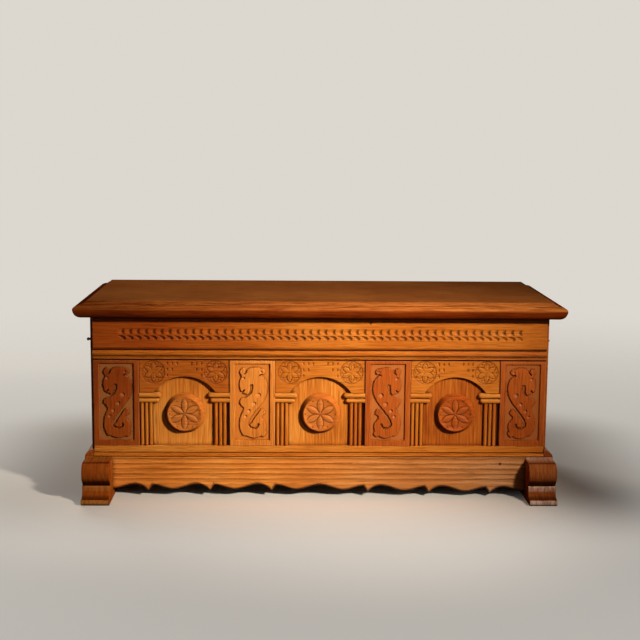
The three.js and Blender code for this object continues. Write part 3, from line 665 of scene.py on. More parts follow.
def scroll_reach(u, v, turn):
    """How far a place lies inside the scroll, with the depth of its chips and the shares of their painted
    highlight and painted shade.
    """
    reach = inside_by(u, v, through(scroll_outline, closed=True))
    for cut in [volute, hook, *small_cuts]:
        reach = np.minimum(reach, -stroke(u, v, through(cut)))
    chips = np.zeros((3, *u.shape))
    for chip in leaf_chips:
        chips = np.maximum(chips, leaf_chip(u, v, chip, turn))
    return reach, chips


def field_lines(low, start, end, high):
    """Grid lines across a panel, wide apart on its borders and close in its field."""
    field = lines(start, end, field_step, field_arris)
    return np.concatenate([lines(low, start, border_step)[:-1], field, lines(end, high, border_step)[1:]])


def carved_panel(number, tones, ground_tone, mirrored):
    """A pilaster panel with its scroll, in place of the plain one."""
    node = f"pilaster_panel_{number}"
    low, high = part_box(node)
    left, right = low.x + field_sides, high.x - field_sides
    bottom, top = low.z + field_bottom, high.z - field_top
    x, z = np.meshgrid(field_lines(low.x, left, right, high.x), field_lines(low.z, bottom, top, high.z))
    u = ((right - x if mirrored else x - left) / mm - scroll_middle[0]) / scroll_size + scroll_middle[0]
    v = ((z - bottom) / mm - scroll_middle[1] - scroll_sink) / scroll_size + scroll_middle[1]
    inside = from_sides(x, z, left, right, bottom, top)
    sunk = ease(inside / wall_width)
    reach, (chips, lit_slopes, shaded_walls) = scroll_reach(u, v, -1 if mirrored else 1)
    reach = reach + chisel_marks(x.shape, scroll_waver)
    body = ease(reach / slope_width + 0.5)
    foot_line = ease(1 - np.abs(reach + slope_width / 2) / scroll_line)
    marks = chisel_marks(x.shape, punch_marks)
    ground = (field_depth + marks + line_depth * foot_line) * (1 - body) + (scroll_drop + 0.4 * marks) * body
    ground += chips * body * chip_depth
    edge = from_sides(x, z, low.x, high.x, low.z, high.z)
    depth = sunk * ground + arris_drop(edge)
    rim_line = ease(1 - np.abs(inside - wall_width) / rim_width)
    values = {
        "ground": 0.85 * sunk * (1 - body),
        # painted shade at the foot of the scroll, round the edge of the field and on the chips' walls
        "hollow": np.clip(0.12 * foot_line * sunk + 0.1 * rim_line + 0.6 * shaded_walls * body, 0, 1),
        # worn arrises, and a painted highlight on the chips' slopes
        "rubbed": np.clip(0.25 * ease(1 - edge / rub_width) + 0.9 * lit_slopes * body, 0, 1),
    }
    panel = carved(f"carved_panel_{number}", x, low.y + depth, z, high.y, values)
    finish = oak(f"stained oak, pilaster panel {number}", tones, "z", hollow_tone="451605",
                 ground_tone=ground_tone, wear_and_highlight_tone="e0a878")
    return fit(panel, finish, "red_oak", node)


# the first panel's darker tone is partly stain and partly painted shade
panel_tones = [(dark_red, "a86a38"), (bright_honey, "cd7a30"), (red, "bb6e34"), (red, "a9602e")]
for number, (tones, ground_tone) in enumerate(panel_tones, 1):
    panel = carved_panel(number, tones, ground_tone, mirrored=number <= 2)
    print(panel.name, "has", len(panel.data.vertices), "points")

# %% [markdown]
# ## The frieze
# Two rows of gouge cuts run along the frieze. The upper row is a string of scoops: each starts shallow on
# the left and deepens to a steep crescent-shaped stop on the right. The lower row is a string of commas that
# slant down to the right. Every cut was struck by hand, so its place and depth vary a little. The repeat is
# one number, the pitch, so both rows keep step from end to end.

# %% Frieze cuts
cut_count = 52
first_stop, last_stop = -477 * mm, 499 * mm
cut_pitch = (last_stop - first_stop) / (cut_count - 1)
scoop_middle, scoop_half = 417.5 * mm, 7.4 * mm
scoop_shallow, scoop_deep, stop_bulge = 0.4 * mm, 4.4 * mm, 4.2 * mm
stop_width = 8.5 * mm
comma = [(-16.5, 406.2, 1.4), (-12, 405.2, 2.8), (-7.5, 402.8, 4.2), (-4.4, 400.2, 4.4)]
comma_depth = 3.6 * mm
cut_shift = chance.normal(0, 0.45 * mm, cut_count + 2)
cut_force = 1 + chance.normal(0, 0.10, cut_count + 2)
print("gouge cuts are", round(cut_pitch / mm, 1), "mm apart")


def scoops(x, z):
    """Depth of the upper row, and the share of painted shade on its stops."""
    q = np.clip((z - scoop_middle) / scoop_half, -1, 1)
    stop = x + stop_bulge * (1 - q * q)
    number = np.clip(np.ceil((stop - first_stop) / cut_pitch), 0, cut_count - 1).astype(int)
    run = (stop - first_stop - (number - 1) * cut_pitch - cut_shift[number]) / cut_pitch
    inside = (run > 0) & (run < 1)
    fall = scoop_shallow + (scoop_deep * cut_force[number] - scoop_shallow) * np.clip(run, 0, 1) ** 1.6
    wall = ease((1 - run) * cut_pitch / stop_width)
    start = ease(run * cut_pitch / (1.5 * mm))
    first = np.where(number == 0, start, 1)
    stops = ease(1.25 - (1 - run) * cut_pitch / stop_width) * (1 - q * q) ** 0.35
    return np.where(inside, fall * wall * first * (1 - q * q) ** 0.6, 0), np.where(inside, stops, 0)


def commas(x, z):
    """Depth of the lower row."""
    depth = np.zeros(x.shape)
    path = through(comma, steps=3)
    for number in range(cut_count):
        stop = first_stop + number * cut_pitch + cut_shift[number + 1]
        near = np.abs(x[0] - stop + cut_pitch / 2) < cut_pitch
        reach = stroke((x[:, near] - stop) / mm, z[:, near] / mm, path)
        struck = comma_depth * cut_force[number] * ease(reach / 3.4 + 0.1)
        depth[:, near] = np.maximum(depth[:, near], struck)
    return depth


# %% [markdown]
# The frieze board is long, so its grid is fine only where it is cut. A small dark nail hole sits near the
# middle of its upper edge, as on the real one. The strip right under the lid carries the lid's painted
# shadow; the stops of the scoops carry painted shade and their slopes a painted highlight, and the commas
# are darkened by their depth, more towards the left.

# %% Carved frieze
nail_hole, nail_depth = (122.4, 439.5, 2.6), 1.5 * mm
lid_shadow_height, joint_height = 6.5 * mm, 1.8 * mm
carved_low, carved_high = 394 * mm, 426 * mm
plain_step, fine_step, step_along = 6 * mm, 1.0 * mm, 1.25 * mm

low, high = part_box("frieze_board")
lines_z = np.concatenate([lines(low.z, carved_low, plain_step)[:-3],
                          np.arange(carved_low, carved_high, fine_step),
                          lines(carved_high, high.z, plain_step)[3:]])
x, z = np.meshgrid(lines(low.x, high.x, step_along), lines_z)
scooped, stops = scoops(x, z)
slanted = commas(x, z)
dug = np.maximum(scooped, slanted)
darkening = 0.75 - 0.35 * (x - low.x) / (high.x - low.x)
nail = ease((nail_hole[2] - np.hypot(x / mm - nail_hole[0], z / mm - nail_hole[1])) / 1.0)
depth = dug + nail_depth * nail + arris_drop(from_sides(x, z, low.x, high.x, low.z, high.z))
# painted shadow of the lid on the strip right under it
painted_shade = ease((z - high.z + lid_shadow_height) / (2 * mm))
joint = 0.9 * ease(1.6 - (z - low.z) / joint_height)
# painted shade on the stops of the scoops; the commas darken with their depth, more towards the left
darkened_cuts = 0.75 * stops + 0.85 * darkening * ease(1.6 * slanted / comma_depth - 0.3)
values = {
    "hollow": np.clip(darkened_cuts + nail + painted_shade + joint, 0, 1),
    # painted highlight on the slopes of the scoops
    "rubbed": 0.6 * ease(1.5 * scooped / scoop_deep) * (1 - stops),
}
frieze = carved("carved_frieze", x, low.y + depth, z, high.y, values)
finish = oak("honey oak, frieze", red_honey, "x", hollow_tone="160702", second=(-0.4, 0.05, honey))
fit(frieze, finish, "honey_oak", "frieze_board")
print("frieze has", len(frieze.data.vertices), "points")

# %% [markdown]
# ## Flowers
# A flower of six pointed petals is struck with compasses: one fills each boss and a smaller one each upper
# corner of an arch board. A petal is a leaf with a groove round it and a vein along its middle, and a dot is
# punched between each two, near the rim. The grooves are drawn a little wider than the real V-tool left
# them, because a pixel of this view is 2.5 mm wide. All six petals come from one: the angle of a place is
# folded back to the nearest petal before anything is measured.

# %% Flower relief
petal_angle = 60


def flower(across, upward, petal_length, petal_half, ridge, groove):
    """Height of the petals, and depth shares of the grooves round them and of the dots between them."""
    radius = np.hypot(across, upward)
    turn = np.degrees(np.arctan2(upward, across))
    off = np.radians((turn - 90 + petal_angle / 2) % petal_angle - petal_angle / 2)
    along, aside = radius * np.cos(off), np.abs(radius * np.sin(off))
    share = np.clip(along / petal_length, 0, 1)
    half = petal_half * (1 - np.abs(2 * share ** 1.15 - 1) ** 2)
    within = half - aside
    height = ridge * np.clip(within / petal_half, 0, 1) ** 0.7
    outline = ease(1 - np.abs(within + 0.4 * groove) / groove) * (radius < 1.04 * petal_length)
    vein = ease(1 - aside / (0.5 * groove)) * ease(within / groove)
    vein = vein * ease(along / (0.25 * petal_length) - 0.5)
    dot_off = np.radians((turn + petal_angle / 2) % petal_angle - petal_angle / 2)
    dot_place = 0.93 * petal_length
    from_dot = np.hypot(radius * np.cos(dot_off) - dot_place, radius * np.sin(dot_off))
    dots = ease(1.5 - from_dot / groove)
    return height, np.maximum(outline, 0.5 * vein), dots


print("a flower has", 360 // petal_angle, "petals")

# %% [markdown]
# ## Arch boards
# An arch board closes the top of each bay. Its grid follows the arch: every column of points runs from the
# arch, or from the springing line, up to the waist moulding. The corner flowers are only scratched in, and
# beside each one stand three short columns of chips, three, two and one high. The board stands a little
# farther forward than its plain solid, which makes the shadow along the arch as broad as it should be.

# %% Carved arch boards
arch_radius, arch_rounding = 93 * mm, 1.2 * mm
rosette_offset, rosette_height, rosette_radius = 76.5 * mm, 316.5 * mm, 28 * mm
rosette_petals = (0.9 * rosette_radius, 6.0 * mm, 0.9 * mm, 1.3 * mm)
rosette_sunk, cut_depth, ring_width = 1.1 * mm, 1.5 * mm, 1.4 * mm
rosette_bead, bead_height, rosette_marks = 3.6 * mm, 0.9 * mm, 0.5 * mm
chip_columns = (41.5, 29.5, 17.5)
chip_rows = (337.5, 322.0, 307.0)
chip_stroke, arch_chip_depth = [(0, -2.4, 1.7), (0.8, 2.0, 2.9)], 1.9 * mm
left_joint, right_joint_shadow = 1.4 * mm, 2.8 * mm
arch_forward, plane_marks = 1.6 * mm, 0.05 * mm
side_step, mouth_step = 1.2 * mm, 1.5 * mm


def rosette(x, z):
    """Depth of a scratched corner flower in its ring, and the shares of its dark cuts and pale petals."""
    radius = np.hypot(x, z)
    ring = ease(1.2 - np.abs(radius - rosette_radius) / ring_width)
    height, grooves, dots = flower(x, z, *rosette_petals)
    bead = ease(1 - radius / rosette_bead)
    disc = ease((rosette_radius - radius) / (2 * mm))
    cuts = np.maximum(np.maximum(ring, grooves * disc), dots * disc) * (1 - bead)
    rough = chisel_marks(x.shape, rosette_marks)
    depth = disc * (rosette_sunk - height - bead_height * bead + rough) + cut_depth * cuts
    return depth, 0.6 * cuts + 0.3 * disc * ease(rough / (0.4 * mm)), disc * ease(2 * height / mm - 0.6)


def chips(x, z):
    """Depth share of the stepped chips, each a short upright wedge."""
    share = np.zeros(x.shape)
    for column, offset in enumerate(chip_columns):
        for height in chip_rows[:len(chip_rows) - column]:
            reach = stroke(np.abs(x) / mm - offset, z / mm - height, chip_stroke)
            share = np.maximum(share, ease(reach / 1.8 + 0.1))
    return share


def arch_board(number, tones):
    """An arch board with its flowers and chips."""
    node = f"arch_board_{number}"
    low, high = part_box(node)
    boss_low, boss_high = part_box(f"boss_{number}")
    middle, centre = (boss_low.x + boss_high.x) / 2, (boss_low.z + boss_high.z) / 2
    half = high.x - middle
    mouth = math.sqrt(arch_radius ** 2 - (low.z - centre) ** 2)
    sides = lines(mouth, half, side_step)
    lines_x = np.concatenate([-sides[::-1], lines(-mouth, mouth, mouth_step)[1:-1], sides])
    levels = np.concatenate([[0, 0.002, 0.008], np.linspace(0.02, 0.98, 58), [0.992, 0.998, 1]])
    across, up = np.meshgrid(lines_x, levels)
    foot = centre + np.sqrt(np.clip(arch_radius ** 2 - across ** 2, (low.z - centre) ** 2, None))
    z = foot + up * (high.z - foot)
    from_arch = np.hypot(across, z - centre) - arch_radius
    from_low = np.where(np.abs(across) < mouth, from_arch, z - low.z)
    edge = np.minimum(np.minimum(from_low, high.z - z), half - np.abs(across))
    depth, dark, pale = rosette(np.abs(across) - rosette_offset, z - rosette_height)
    cut = chips(across, z)
    depth = np.maximum(depth, 0) + arch_chip_depth * cut + arris_drop(np.maximum(edge, 0))
    depth = np.maximum(depth, arris_drop(np.maximum(from_arch, 0), arch_rounding))
    depth += chisel_marks(across.shape, plane_marks)
    # dark joints at both ends; the wider one on the right adds the painted shadow of the panel beside it
    joints = 0.8 * ease(1.5 - (across + half) / left_joint) + ease(1.5 - (half - across) / right_joint_shadow)
    values = {"hollow": np.clip(0.9 * dark + 0.35 * cut + joints, 0, 1), "rubbed": 0.3 * pale}
    front = low.y + depth - arch_forward
    board = carved(f"carved_arch_board_{number}", middle + across, front, z, high.y, values)
    return fit(board, oak(f"honey oak, arch board {number}", tones, "x"), "honey_oak", node)


for number, tones in enumerate((deep_honey, honey, honey), 1):
    board = arch_board(number, tones)
    print(board.name, "has", len(board.data.vertices), "points")

# %% [markdown]
# ## Bosses
# A boss is turned on the lathe, with a round face and a steep bevel, and its flower is carved afterwards. So
# the mesh is turned too: rings of points from the middle outwards, pushed back where the carver cut. Rings
# that grow are swept like those of a moulding, so the same function joins them.

# %% Turned pieces
turning_steps = 150


def turned(name, radii, depths, centre, back, relief):
    """A disc that faces the front: radii and depths give its profile, and relief pushes places back."""
    angles = np.linspace(0, 2 * math.pi, turning_steps, endpoint=False)
    radius, angle = np.meshgrid(np.append(radii, radii[-1]), angles, indexing="ij")
    across, up = radius * np.cos(angle), radius * np.sin(angle)
    push, marks = relief(across, up, radius)
    y = np.append(depths, back)[:, None] + push
    return swept(name, np.stack([centre[0] + across, y, centre[2] + up], -1), marks)


print("points in a ring of a turned piece:", turning_steps)

# %% [markdown]
# The ground of a boss is dished between the petals, which keep the height of the face, and dots are punched
# between their tips. The bevel is darkened on its lower left, the side away from the lamp: painted shade.

# %% Bosses
boss_radius, boss_face = 50.4 * mm, 41.5 * mm
bevel, face_sink = [(45, 6.5), (49.8, 14.2), (50.4, 14.8)], 0.5
petal_reach, petal_half, petal_ridge, petal_groove = 40 * mm, 7.8 * mm, 2.4 * mm, 1.6 * mm
ground_drop, ground_marks, bevel_shade = 1.7 * mm, 0.16 * mm, 0.75
dish_width, bead_radius = 9 * mm, 4.2 * mm


def boss_relief(across, up, radius):
    """The ground is dished round the petals, with grooves beside them and dots punched in between."""
    height, grooves, dots = flower(across, up, petal_reach, petal_half, petal_ridge, petal_groove)
    dish = ease((boss_face - radius) / dish_width)
    bead = ease(1 - radius / bead_radius)
    marks = chisel_marks(radius.shape, ground_marks)
    push = dish * (ground_drop + 0.3 * mm - np.maximum(height, ground_drop * bead) + marks)
    push += mm * np.maximum(grooves * dish, 1.5 * dots) * (1 - bead)
    # painted shade on the lower left of the bevel, away from the lamp
    side = bevel_shade * (radius > boss_face + 0.1 * mm) * ease(0.45 - (across + 0.7 * up) / boss_radius)
    return push, {"hollow": np.clip(0.75 * grooves * dish * (1 - bead) + 0.9 * dots + side, 0, 1),
                  "rubbed": 0.3 * ease(height / mm)}


face_radii = np.concatenate([[0.4 * mm], np.linspace(1.5 * mm, boss_face, 36)])
for number in (1, 2, 3):
    low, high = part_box(f"boss_{number}")
    centre = (low + high) / 2
    profile = [(r, low.y + face_sink * mm) for r in face_radii]
    profile += [(r * mm, low.y + (drop + face_sink) * mm) for r, drop in bevel]
    radii, depths = np.array(profile).T
    boss = turned(f"carved_boss_{number}", radii, depths, centre, high.y, boss_relief)
    tones, worn = (red, "b8622a") if number == 3 else (golden_red, "cc8348")
    fit(boss, oak(f"stained oak, boss {number}", tones, "x", wear_and_highlight_tone=worn), "red_oak", f"boss_{number}")
    print(boss.name, "has", len(boss.data.vertices), "points")

# %% [markdown]
# ## Columns and capitals
# The columns are short lengths of reeding, three half-round reeds on a thin backing. One section, drawn once
# with its three arcs, is swept upwards, and the hollows between the reeds are darkened by their depth. The
# right-hand columns of the second and third bays get a darker tone as painted shade of the panel beside them.

# %% Reeded columns
reed_count, reed_radius = 3, 4.8 * mm
reed_darkening = 0.9

for number in range(1, 7):
    low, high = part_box(f"column_{number}")
    pitch = (high.x - low.x) / reed_count
    backing = low.y + reed_radius
    section = [(low.x, high.y), (low.x, backing)]
    for reed in range(reed_count):
        section += arc((low.x + (reed + 0.5) * pitch, backing), reed_radius, 180, 360, 14)
    section += [(high.x, backing), (high.x, high.y)]
    rings = [[(px, py, level) for px, py in section] for level in np.linspace(low.z, high.z, 12)]
    darkening = [reed_darkening * float(ease(1.15 * (py - low.y) / reed_radius - 0.15)) for px, py in section]
    column = swept(f"reeded_column_{number}", rings, {"hollow": darkening})
    # a darker tone for the right-hand columns of bays two and three: painted shade of the panel beside them
    tones = deep_honey if number in (4, 6) else honey
    finish = oak(f"honey oak, column {number}", tones, "z", hollow_tone="461404")
    fit(column, finish, "honey_oak", f"column_{number}")
print("reeds are", round(2 * reed_radius / mm, 1), "mm wide")

# %% [markdown]
# Each capital is two half-round bands with a rounded free end, the lower one a little shorter. The bands grow
# out of the pilaster beside them, so their rings shrink only towards the free end.

# %% Capitals
upper_height, lower_height, lower_short, lower_set_back = 13.2 * mm, 12.8 * mm, 5 * mm, 1.5 * mm


def band(wall, tip, bottom, height, front, back):
    """Rings of a half-round band that runs from a wall to a rounded tip."""
    direction = math.copysign(1, tip - wall)
    radius = height / 2
    shoulder = tip - direction * radius
    stops = [(wall, radius)] + [(shoulder + direction * radius * math.sin(t), radius * math.cos(t))
                                for t in np.radians(np.linspace(0, 88, 9))]
    rings = []
    for place, size in stops:
        round_front = arc((front + radius, bottom + radius), size, 90, 270, 12)
        ring = [(back, bottom + radius - size), *reversed(round_front), (back, bottom + radius + size)]
        rings.append([(place, y, z) for y, z in ring])
    return rings


for number in range(1, 7):
    low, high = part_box(f"capital_{number}")
    wall, tip = (low.x, high.x) if number % 2 else (high.x, low.x)
    inward = math.copysign(1, tip - wall)
    finish = oak(f"honey oak, capital {number}", pale_honey, "x")
    upper_rings = band(wall, tip, high.z - upper_height, upper_height, low.y, high.y)
    fit(swept(f"capital_band_{number}", upper_rings), finish, "honey_oak", f"capital_{number}")
    short_tip = tip - inward * lower_short
    lower_rings = band(wall, short_tip, low.z, lower_height, low.y + lower_set_back, high.y)
    fit(swept(f"capital_neck_{number}", lower_rings), finish, "honey_oak")
print("capitals are", round((upper_height + lower_height) / mm), "mm high")

# %% [markdown]
# ## Long mouldings
# The waist moulding, the bottom rail and the bead under it were run with moulding planes, so each is one
# section from end to end. The plain solids have the same sections with fewer points; here the rounds get
# enough of them to look round. The waist carries painted shade under its fillet and in the quirk above it,
# and a dark line where its top meets the frieze.

# %% Waist, rail and bead


def run(name, section, low, high, marks=None, stops=24):
    """Sweeps a section of Y and Z along X."""
    return swept(name, [[(x, y, z) for y, z in section] for x in np.linspace(low, high, stops)], marks)


low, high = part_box("waist_moulding")
torus = 7.5 * mm
fillet_front, fillet_bottom, fillet_height = low.y + 5.5 * mm, low.z + 4 * mm, 3.4 * mm
fillet_top = fillet_bottom + fillet_height
neck_front = high.y - 9 * mm
torus_y = low.y + torus
section = [(high.y, low.z), (high.y, high.z), (torus_y, high.z)]
section += arc((torus_y, high.z - torus), torus, 90, 270, 20)[1:]
section += bow((torus_y, high.z - 2 * torus), (torus_y, fillet_top), (fillet_front, fillet_top), 6)[1:]
section += [(fillet_front, fillet_bottom), (neck_front, fillet_bottom), (neck_front, low.z)]
# painted shade under the fillet and in the quirk above it, and a dark line along the top
painted_shade = [0.9 * (z < fillet_bottom + mm and y > fillet_front + mm)
         + 0.8 * (abs(z - fillet_top) < 0.8 * mm and y > fillet_front + 0.2 * mm)
         + 0.9 * (z > high.z - 0.5 * mm) for y, z in section]
waist = run("waist_torus", section, low.x, high.x, {"hollow": painted_shade})
finish = oak("honey oak, waist moulding", honey, "x", second=(0.1, 0.45, deep_honey))
fit(soften(waist, 0.5 * mm), finish, "honey_oak", "waist_moulding")

low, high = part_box("bottom_rail")
rounding = 3 * mm
section = [(high.y, low.z), (high.y, high.z), (low.y, high.z), (low.y, low.z + rounding)]
section += bow((low.y, low.z + rounding), (low.y, low.z), (low.y + rounding, low.z), 8)[1:]
rail = run("rounded_bottom_rail", section, low.x, high.x)
finish = oak("honey oak, bottom rail", pale_honey, "x", second=(0.1, 0.45, honey))
fit(soften(rail, 0.7 * mm), finish, "honey_oak", "bottom_rail")

low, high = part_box("base_bead")
bead, lip = 2.5 * mm, 1 * mm
bead_middle = (low.y + bead, low.z + lip + bead)
quirk = low.y + 2.6 * mm
section = [(high.y, low.z), (high.y, high.z), (quirk, high.z), (quirk, bead_middle[1] + bead)]
section += arc(bead_middle, bead, 90, 270, 12)
section += [(bead_middle[0], low.z)]
base = run("run_base_bead", section, low.x, high.x)
fit(base, oak("honey oak, base bead", honey, "x"), "honey_oak", "base_bead")
print("long mouldings:", round((high.x - low.x) / mm), "mm")

# %% [markdown]
# ## The apron
# The apron between the feet has five shallow flutes along it, pushed by hand, so they waver. Its lower edge
# is sawn to repeated waves with a small hook between each two, and its front arris is rounded over. The real
# edge hangs a few millimetres lower on the right, and so does this one. The edge is drawn first, for one half
# of the apron, as a line through the stops of its waves; the grid of the board then stands on that line.

# %% Apron
wave_unit = 153
wave_heights = {"peak": 33, "low": 20, "notch": 31, "tip": 16, "end": 22}
wave_shares = {"peak": 0, "low": 0.386, "notch": 0.714, "tip": 0.784}
flute_count, flute_pitch, flute_depth, flute_margin = 5, 13 * mm, 2.2 * mm, 3 * mm
wavers = ((0.05, 61 * mm, 2.1), (0.035, 23 * mm, 1.3))
apron_knot = (450, 87, 3.2)
edge_sag, sag_start, sag_end = 6.5, -100 * mm, 450 * mm
lower_rounding, ridge_share = 6.5 * mm, 0.16
apron_step, apron_marks = 2.0 * mm, 0.06 * mm

low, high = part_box("front_apron")
half_width = high.x / mm
stops = []
for unit in range(math.ceil(half_width / wave_unit)):
    stops += [((unit + wave_shares[kind]) * wave_unit, wave_heights[kind], kind) for kind in wave_shares]
stops = [s for s in stops if s[0] < half_width - wave_unit * (1 - wave_shares["tip"])]
stops.append((half_width, wave_heights["end"], "end"))
edge_line = []
for (x0, z0, before), (x1, z1, then) in zip(stops[:-1], stops[1:]):
    half_way = (x0 + x1) / 2
    if {before, then} == {"notch", "tip"}:
        edge_line += [(x0, z0)]
    elif before in ("notch", "tip"):
        edge_line += bow((x0, z0), (half_way, z1), (x1, z1))[:-1]
    else:
        shares = np.linspace(0, 1, 12)[:-1]
        edge_line += [(x0 + t * (x1 - x0), z0 + float(ease(t)) * (z1 - z0)) for t in shares]
edge_line.append(stops[-1][:2])
edge_x, edge_z = np.array(edge_line).T
print("waves in the apron's edge:", 2 * sum(s[2] == "low" for s in stops))

lines_x = lines(low.x, high.x, apron_step)
levels = np.concatenate([[0, 0.004, 0.012, 0.024, 0.04], np.linspace(0.06, 0.995, 62), [1]])
x, up = np.meshgrid(lines_x, levels)
sag = edge_sag * np.clip((x - sag_start) / (sag_end - sag_start), 0, 1)
foot = (np.interp(np.abs(x) / mm, edge_x, edge_z) - sag) * mm
z = foot + up * (high.z - foot)
slope = np.gradient(foot[0], lines_x)
from_edge = (z - foot) / np.sqrt(1 + slope ** 2)
flute = (high.z - flute_margin - z) / flute_pitch
lane = np.floor(flute)
flute = flute + sum(share * np.sin(x / length + turn * lane) for share, length, turn in wavers)
place_in_flute = flute - np.floor(flute)
fluted = (flute > 0) & (flute < flute_count) & (from_edge > lower_rounding)
hollow = np.where(fluted, 1 - (2 * place_in_flute - 1) ** 2, 0)
depth = flute_depth * hollow + arris_drop(from_edge, lower_rounding) + chisel_marks(x.shape, apron_marks)
# the upper part of each flute faces down and gets painted shade
ridge = np.where(fluted, ease(1 - place_in_flute / ridge_share), 0)
knot = ease(1.6 - np.hypot(x / mm - apron_knot[0], z / mm - apron_knot[1]) / apron_knot[2])
# painted shade on the rounded lower arris, and a dark knot
values = {"hollow": np.clip(0.4 * ridge + 0.85 * ease(1.25 - from_edge / lower_rounding) + knot, 0, 1)}
apron = carved("fluted_apron", x, low.y + depth, z, high.y, values, crisp=50)
finish = oak("honey oak, apron", bright_honey, "x", hollow_tone="4a1605", streak_width=4.5 * mm,
             second=(-0.15, 0.45, rubbed_honey))
fit(apron, finish, "honey_oak", "front_apron")
print("apron has", len(apron.data.vertices), "points")

# %% [markdown]
# ## Runner feet
# Each foot is the front end of a plank on edge: a square block under the corner, a bold roll, a fillet, a
# hollow and a flared toe. Its end grain shows on the roll as upright streaks, so its figure is stretched
# from front to back and upwards alike. Shoes have rubbed the fillet and the toe. The underside of the roll
# and the neck under it carry painted shade, and the groove over the roll and the foot of the hollow are
# darkened; these marks stop short of the sawn sides.

# %% Feet
ledge_drop, block_reach = 4.5 * mm, 6 * mm
roll_radius, roll_reach, roll_sweep = 26 * mm, 66 * mm, 145
neck_reach, neck_height = 48 * mm, 43 * mm
fillet_reach, fillet_height = 54 * mm, 36 * mm
base_reach, lip_height, toe_radius, side_margin = 80 * mm, 14 * mm, 6 * mm, 2 * mm
block_points, groove_points, toe_edge = 4, (5, 6, 7), 2 * mm
neck_dark, neck_shade, groove_darkening, cove_darkening = 19 * mm, 0.85, 0.6, 0.6
return_reach, return_depth, return_step = 6.6 * mm, 14.6 * mm, 0.2 * mm

for side_name, tones, worn in (("left", bright_brown, "bf7a38"), ("right", cool_brown, "f2cab0")):
    node = f"{side_name}_runner_foot"
    low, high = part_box(node)
    face = low.y + base_reach
    ledge = high.z - ledge_drop
    roll = (face + roll_radius - roll_reach, ledge - roll_radius)
    section = [(high.y, low.z), (high.y, high.z), (face - block_reach, high.z), (face - block_reach, ledge)]
    section += arc(roll, roll_radius, 90, 90 + roll_sweep, 26)
    section += [(face - neck_reach, neck_height), (face - fillet_reach, neck_height)]
    curve_start = len(section)
    section += bow((face - fillet_reach, fillet_height), (face - fillet_reach, lip_height),
                   (face - base_reach, lip_height), 12)
    section += bow((low.y, toe_radius), (low.y, low.z), (low.y + toe_radius, low.z), 6)
    wear, darkening = np.zeros(len(section)), np.zeros(len(section))
    for i, (py, pz) in enumerate(section):
        if i < block_points:
            wear[i] = 0.5
        elif i < curve_start - 1:
            # painted shade on the underside of the roll and down the neck
            darkening[i] = neck_shade * ease((neck_height + neck_dark - pz) / (0.8 * neck_dark))
            darkening[i] += groove_darkening * (i in groove_points)
        elif i == curve_start - 1 or py < face - base_reach + toe_edge:
            wear[i] = 1.0
        else:
            wear[i] = 0.5 * ease((pz - fillet_height + 8 * mm) / (5 * mm))
            darkening[i] = cove_darkening * ease((lip_height + 9 * mm - pz) / (7 * mm))
    stops = (low.x, low.x + side_margin, high.x - side_margin, high.x)
    inner = np.array([0, 1, 1, 0])[:, None]
    foot = swept(f"shaped_{node}", [[(px, py, pz) for py, pz in section] for px in stops],
                 {"rubbed": inner * wear, "hollow": inner * darkening})
    soften(foot, 1.2 * mm, 3)
    finish = oak(f"brown oak, {side_name} foot", tones, "end", wear_and_highlight_tone=worn, shine=0.0,
                 streak_width=4 * mm)
    fit(foot, finish, "brown_oak", node)

    # the moulding over the foot ends in a short return against the bottom rail
    node = f"{side_name}_base_moulding"
    low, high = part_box(node)
    wall, out = (high.x, low.x) if side_name == "left" else (low.x, high.x)
    top_width = math.copysign(2 * mm, out - wall)
    front_return = math.copysign(return_reach, out - wall)
    section = [(wall, low.z), (out, low.z)]
    section += bow((out, low.z), (out, (low.z + high.z) / 2), (wall + top_width, high.z), 10)[1:]
    section += [(wall, high.z)]
    turned_in = [(px - front_return * (px == wall), pz) for px, pz in section]
    rings = [[(px, y, pz) for px, pz in turned_in] for y in (low.y, low.y + return_depth)]
    stops = np.linspace(low.y + return_depth + return_step, high.y, 7)
    rings += [[(px, y, pz) for px, pz in section] for y in stops]
    cove = swept(f"run_{node}", rings)
    fit(cove, oak(f"brown oak, {side_name} base moulding", tones, "y"), "brown_oak", node)
print("feet reach", round(base_reach / mm), "mm in front of the panels")

# %% [markdown]
# ## Lid
# The lid is a wide board with a moulding mitred round its front and sides: a nose, a low shoulder, and a
# small step up to the board. The section is the same all round, so it is drawn once, by its distance in from
# the outer edge and its height above the lid's underside. The upper part of the front nose carries a painted
# highlight, strongest on the right, towards the lamp.

# %% Lid mouldings
moulding_width, underside_inset, nose_height = 30 * mm, 18 * mm, 20.5 * mm
nose_pull, shoulder_pull = (3 * mm, 2 * mm), (0.5 * mm, 31 * mm)
step_inset, step_height, step_rise, top_drop = 20 * mm, 31.5 * mm, 1.5 * mm, 1.5 * mm
mitre_gap = 0.3 * mm
sheen_start, sheen_rise, left_sheen, right_sheen = 19 * mm, 5 * mm, 0.35, 1.0

board_low, board_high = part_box("lid_board")
lid_bottom, lid_top = board_low.z, board_high.z
front_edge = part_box("lid_front_moulding")[0].y
side_edge = board_high.x + moulding_width

section = [(moulding_width, 0)]
section += bow((underside_inset, 0), nose_pull, (0, nose_height), 14)
section += bow((0, nose_height), shoulder_pull, (step_inset, step_height), 14)[1:]
section += [(step_inset, step_height + step_rise), (moulding_width, lid_top - lid_bottom - top_drop)]

rings = [[(direction * (side_edge - inset - mitre_gap / 2), front_edge + inset, lid_bottom + height)
          for inset, height in section] for direction in (-1, 1)]
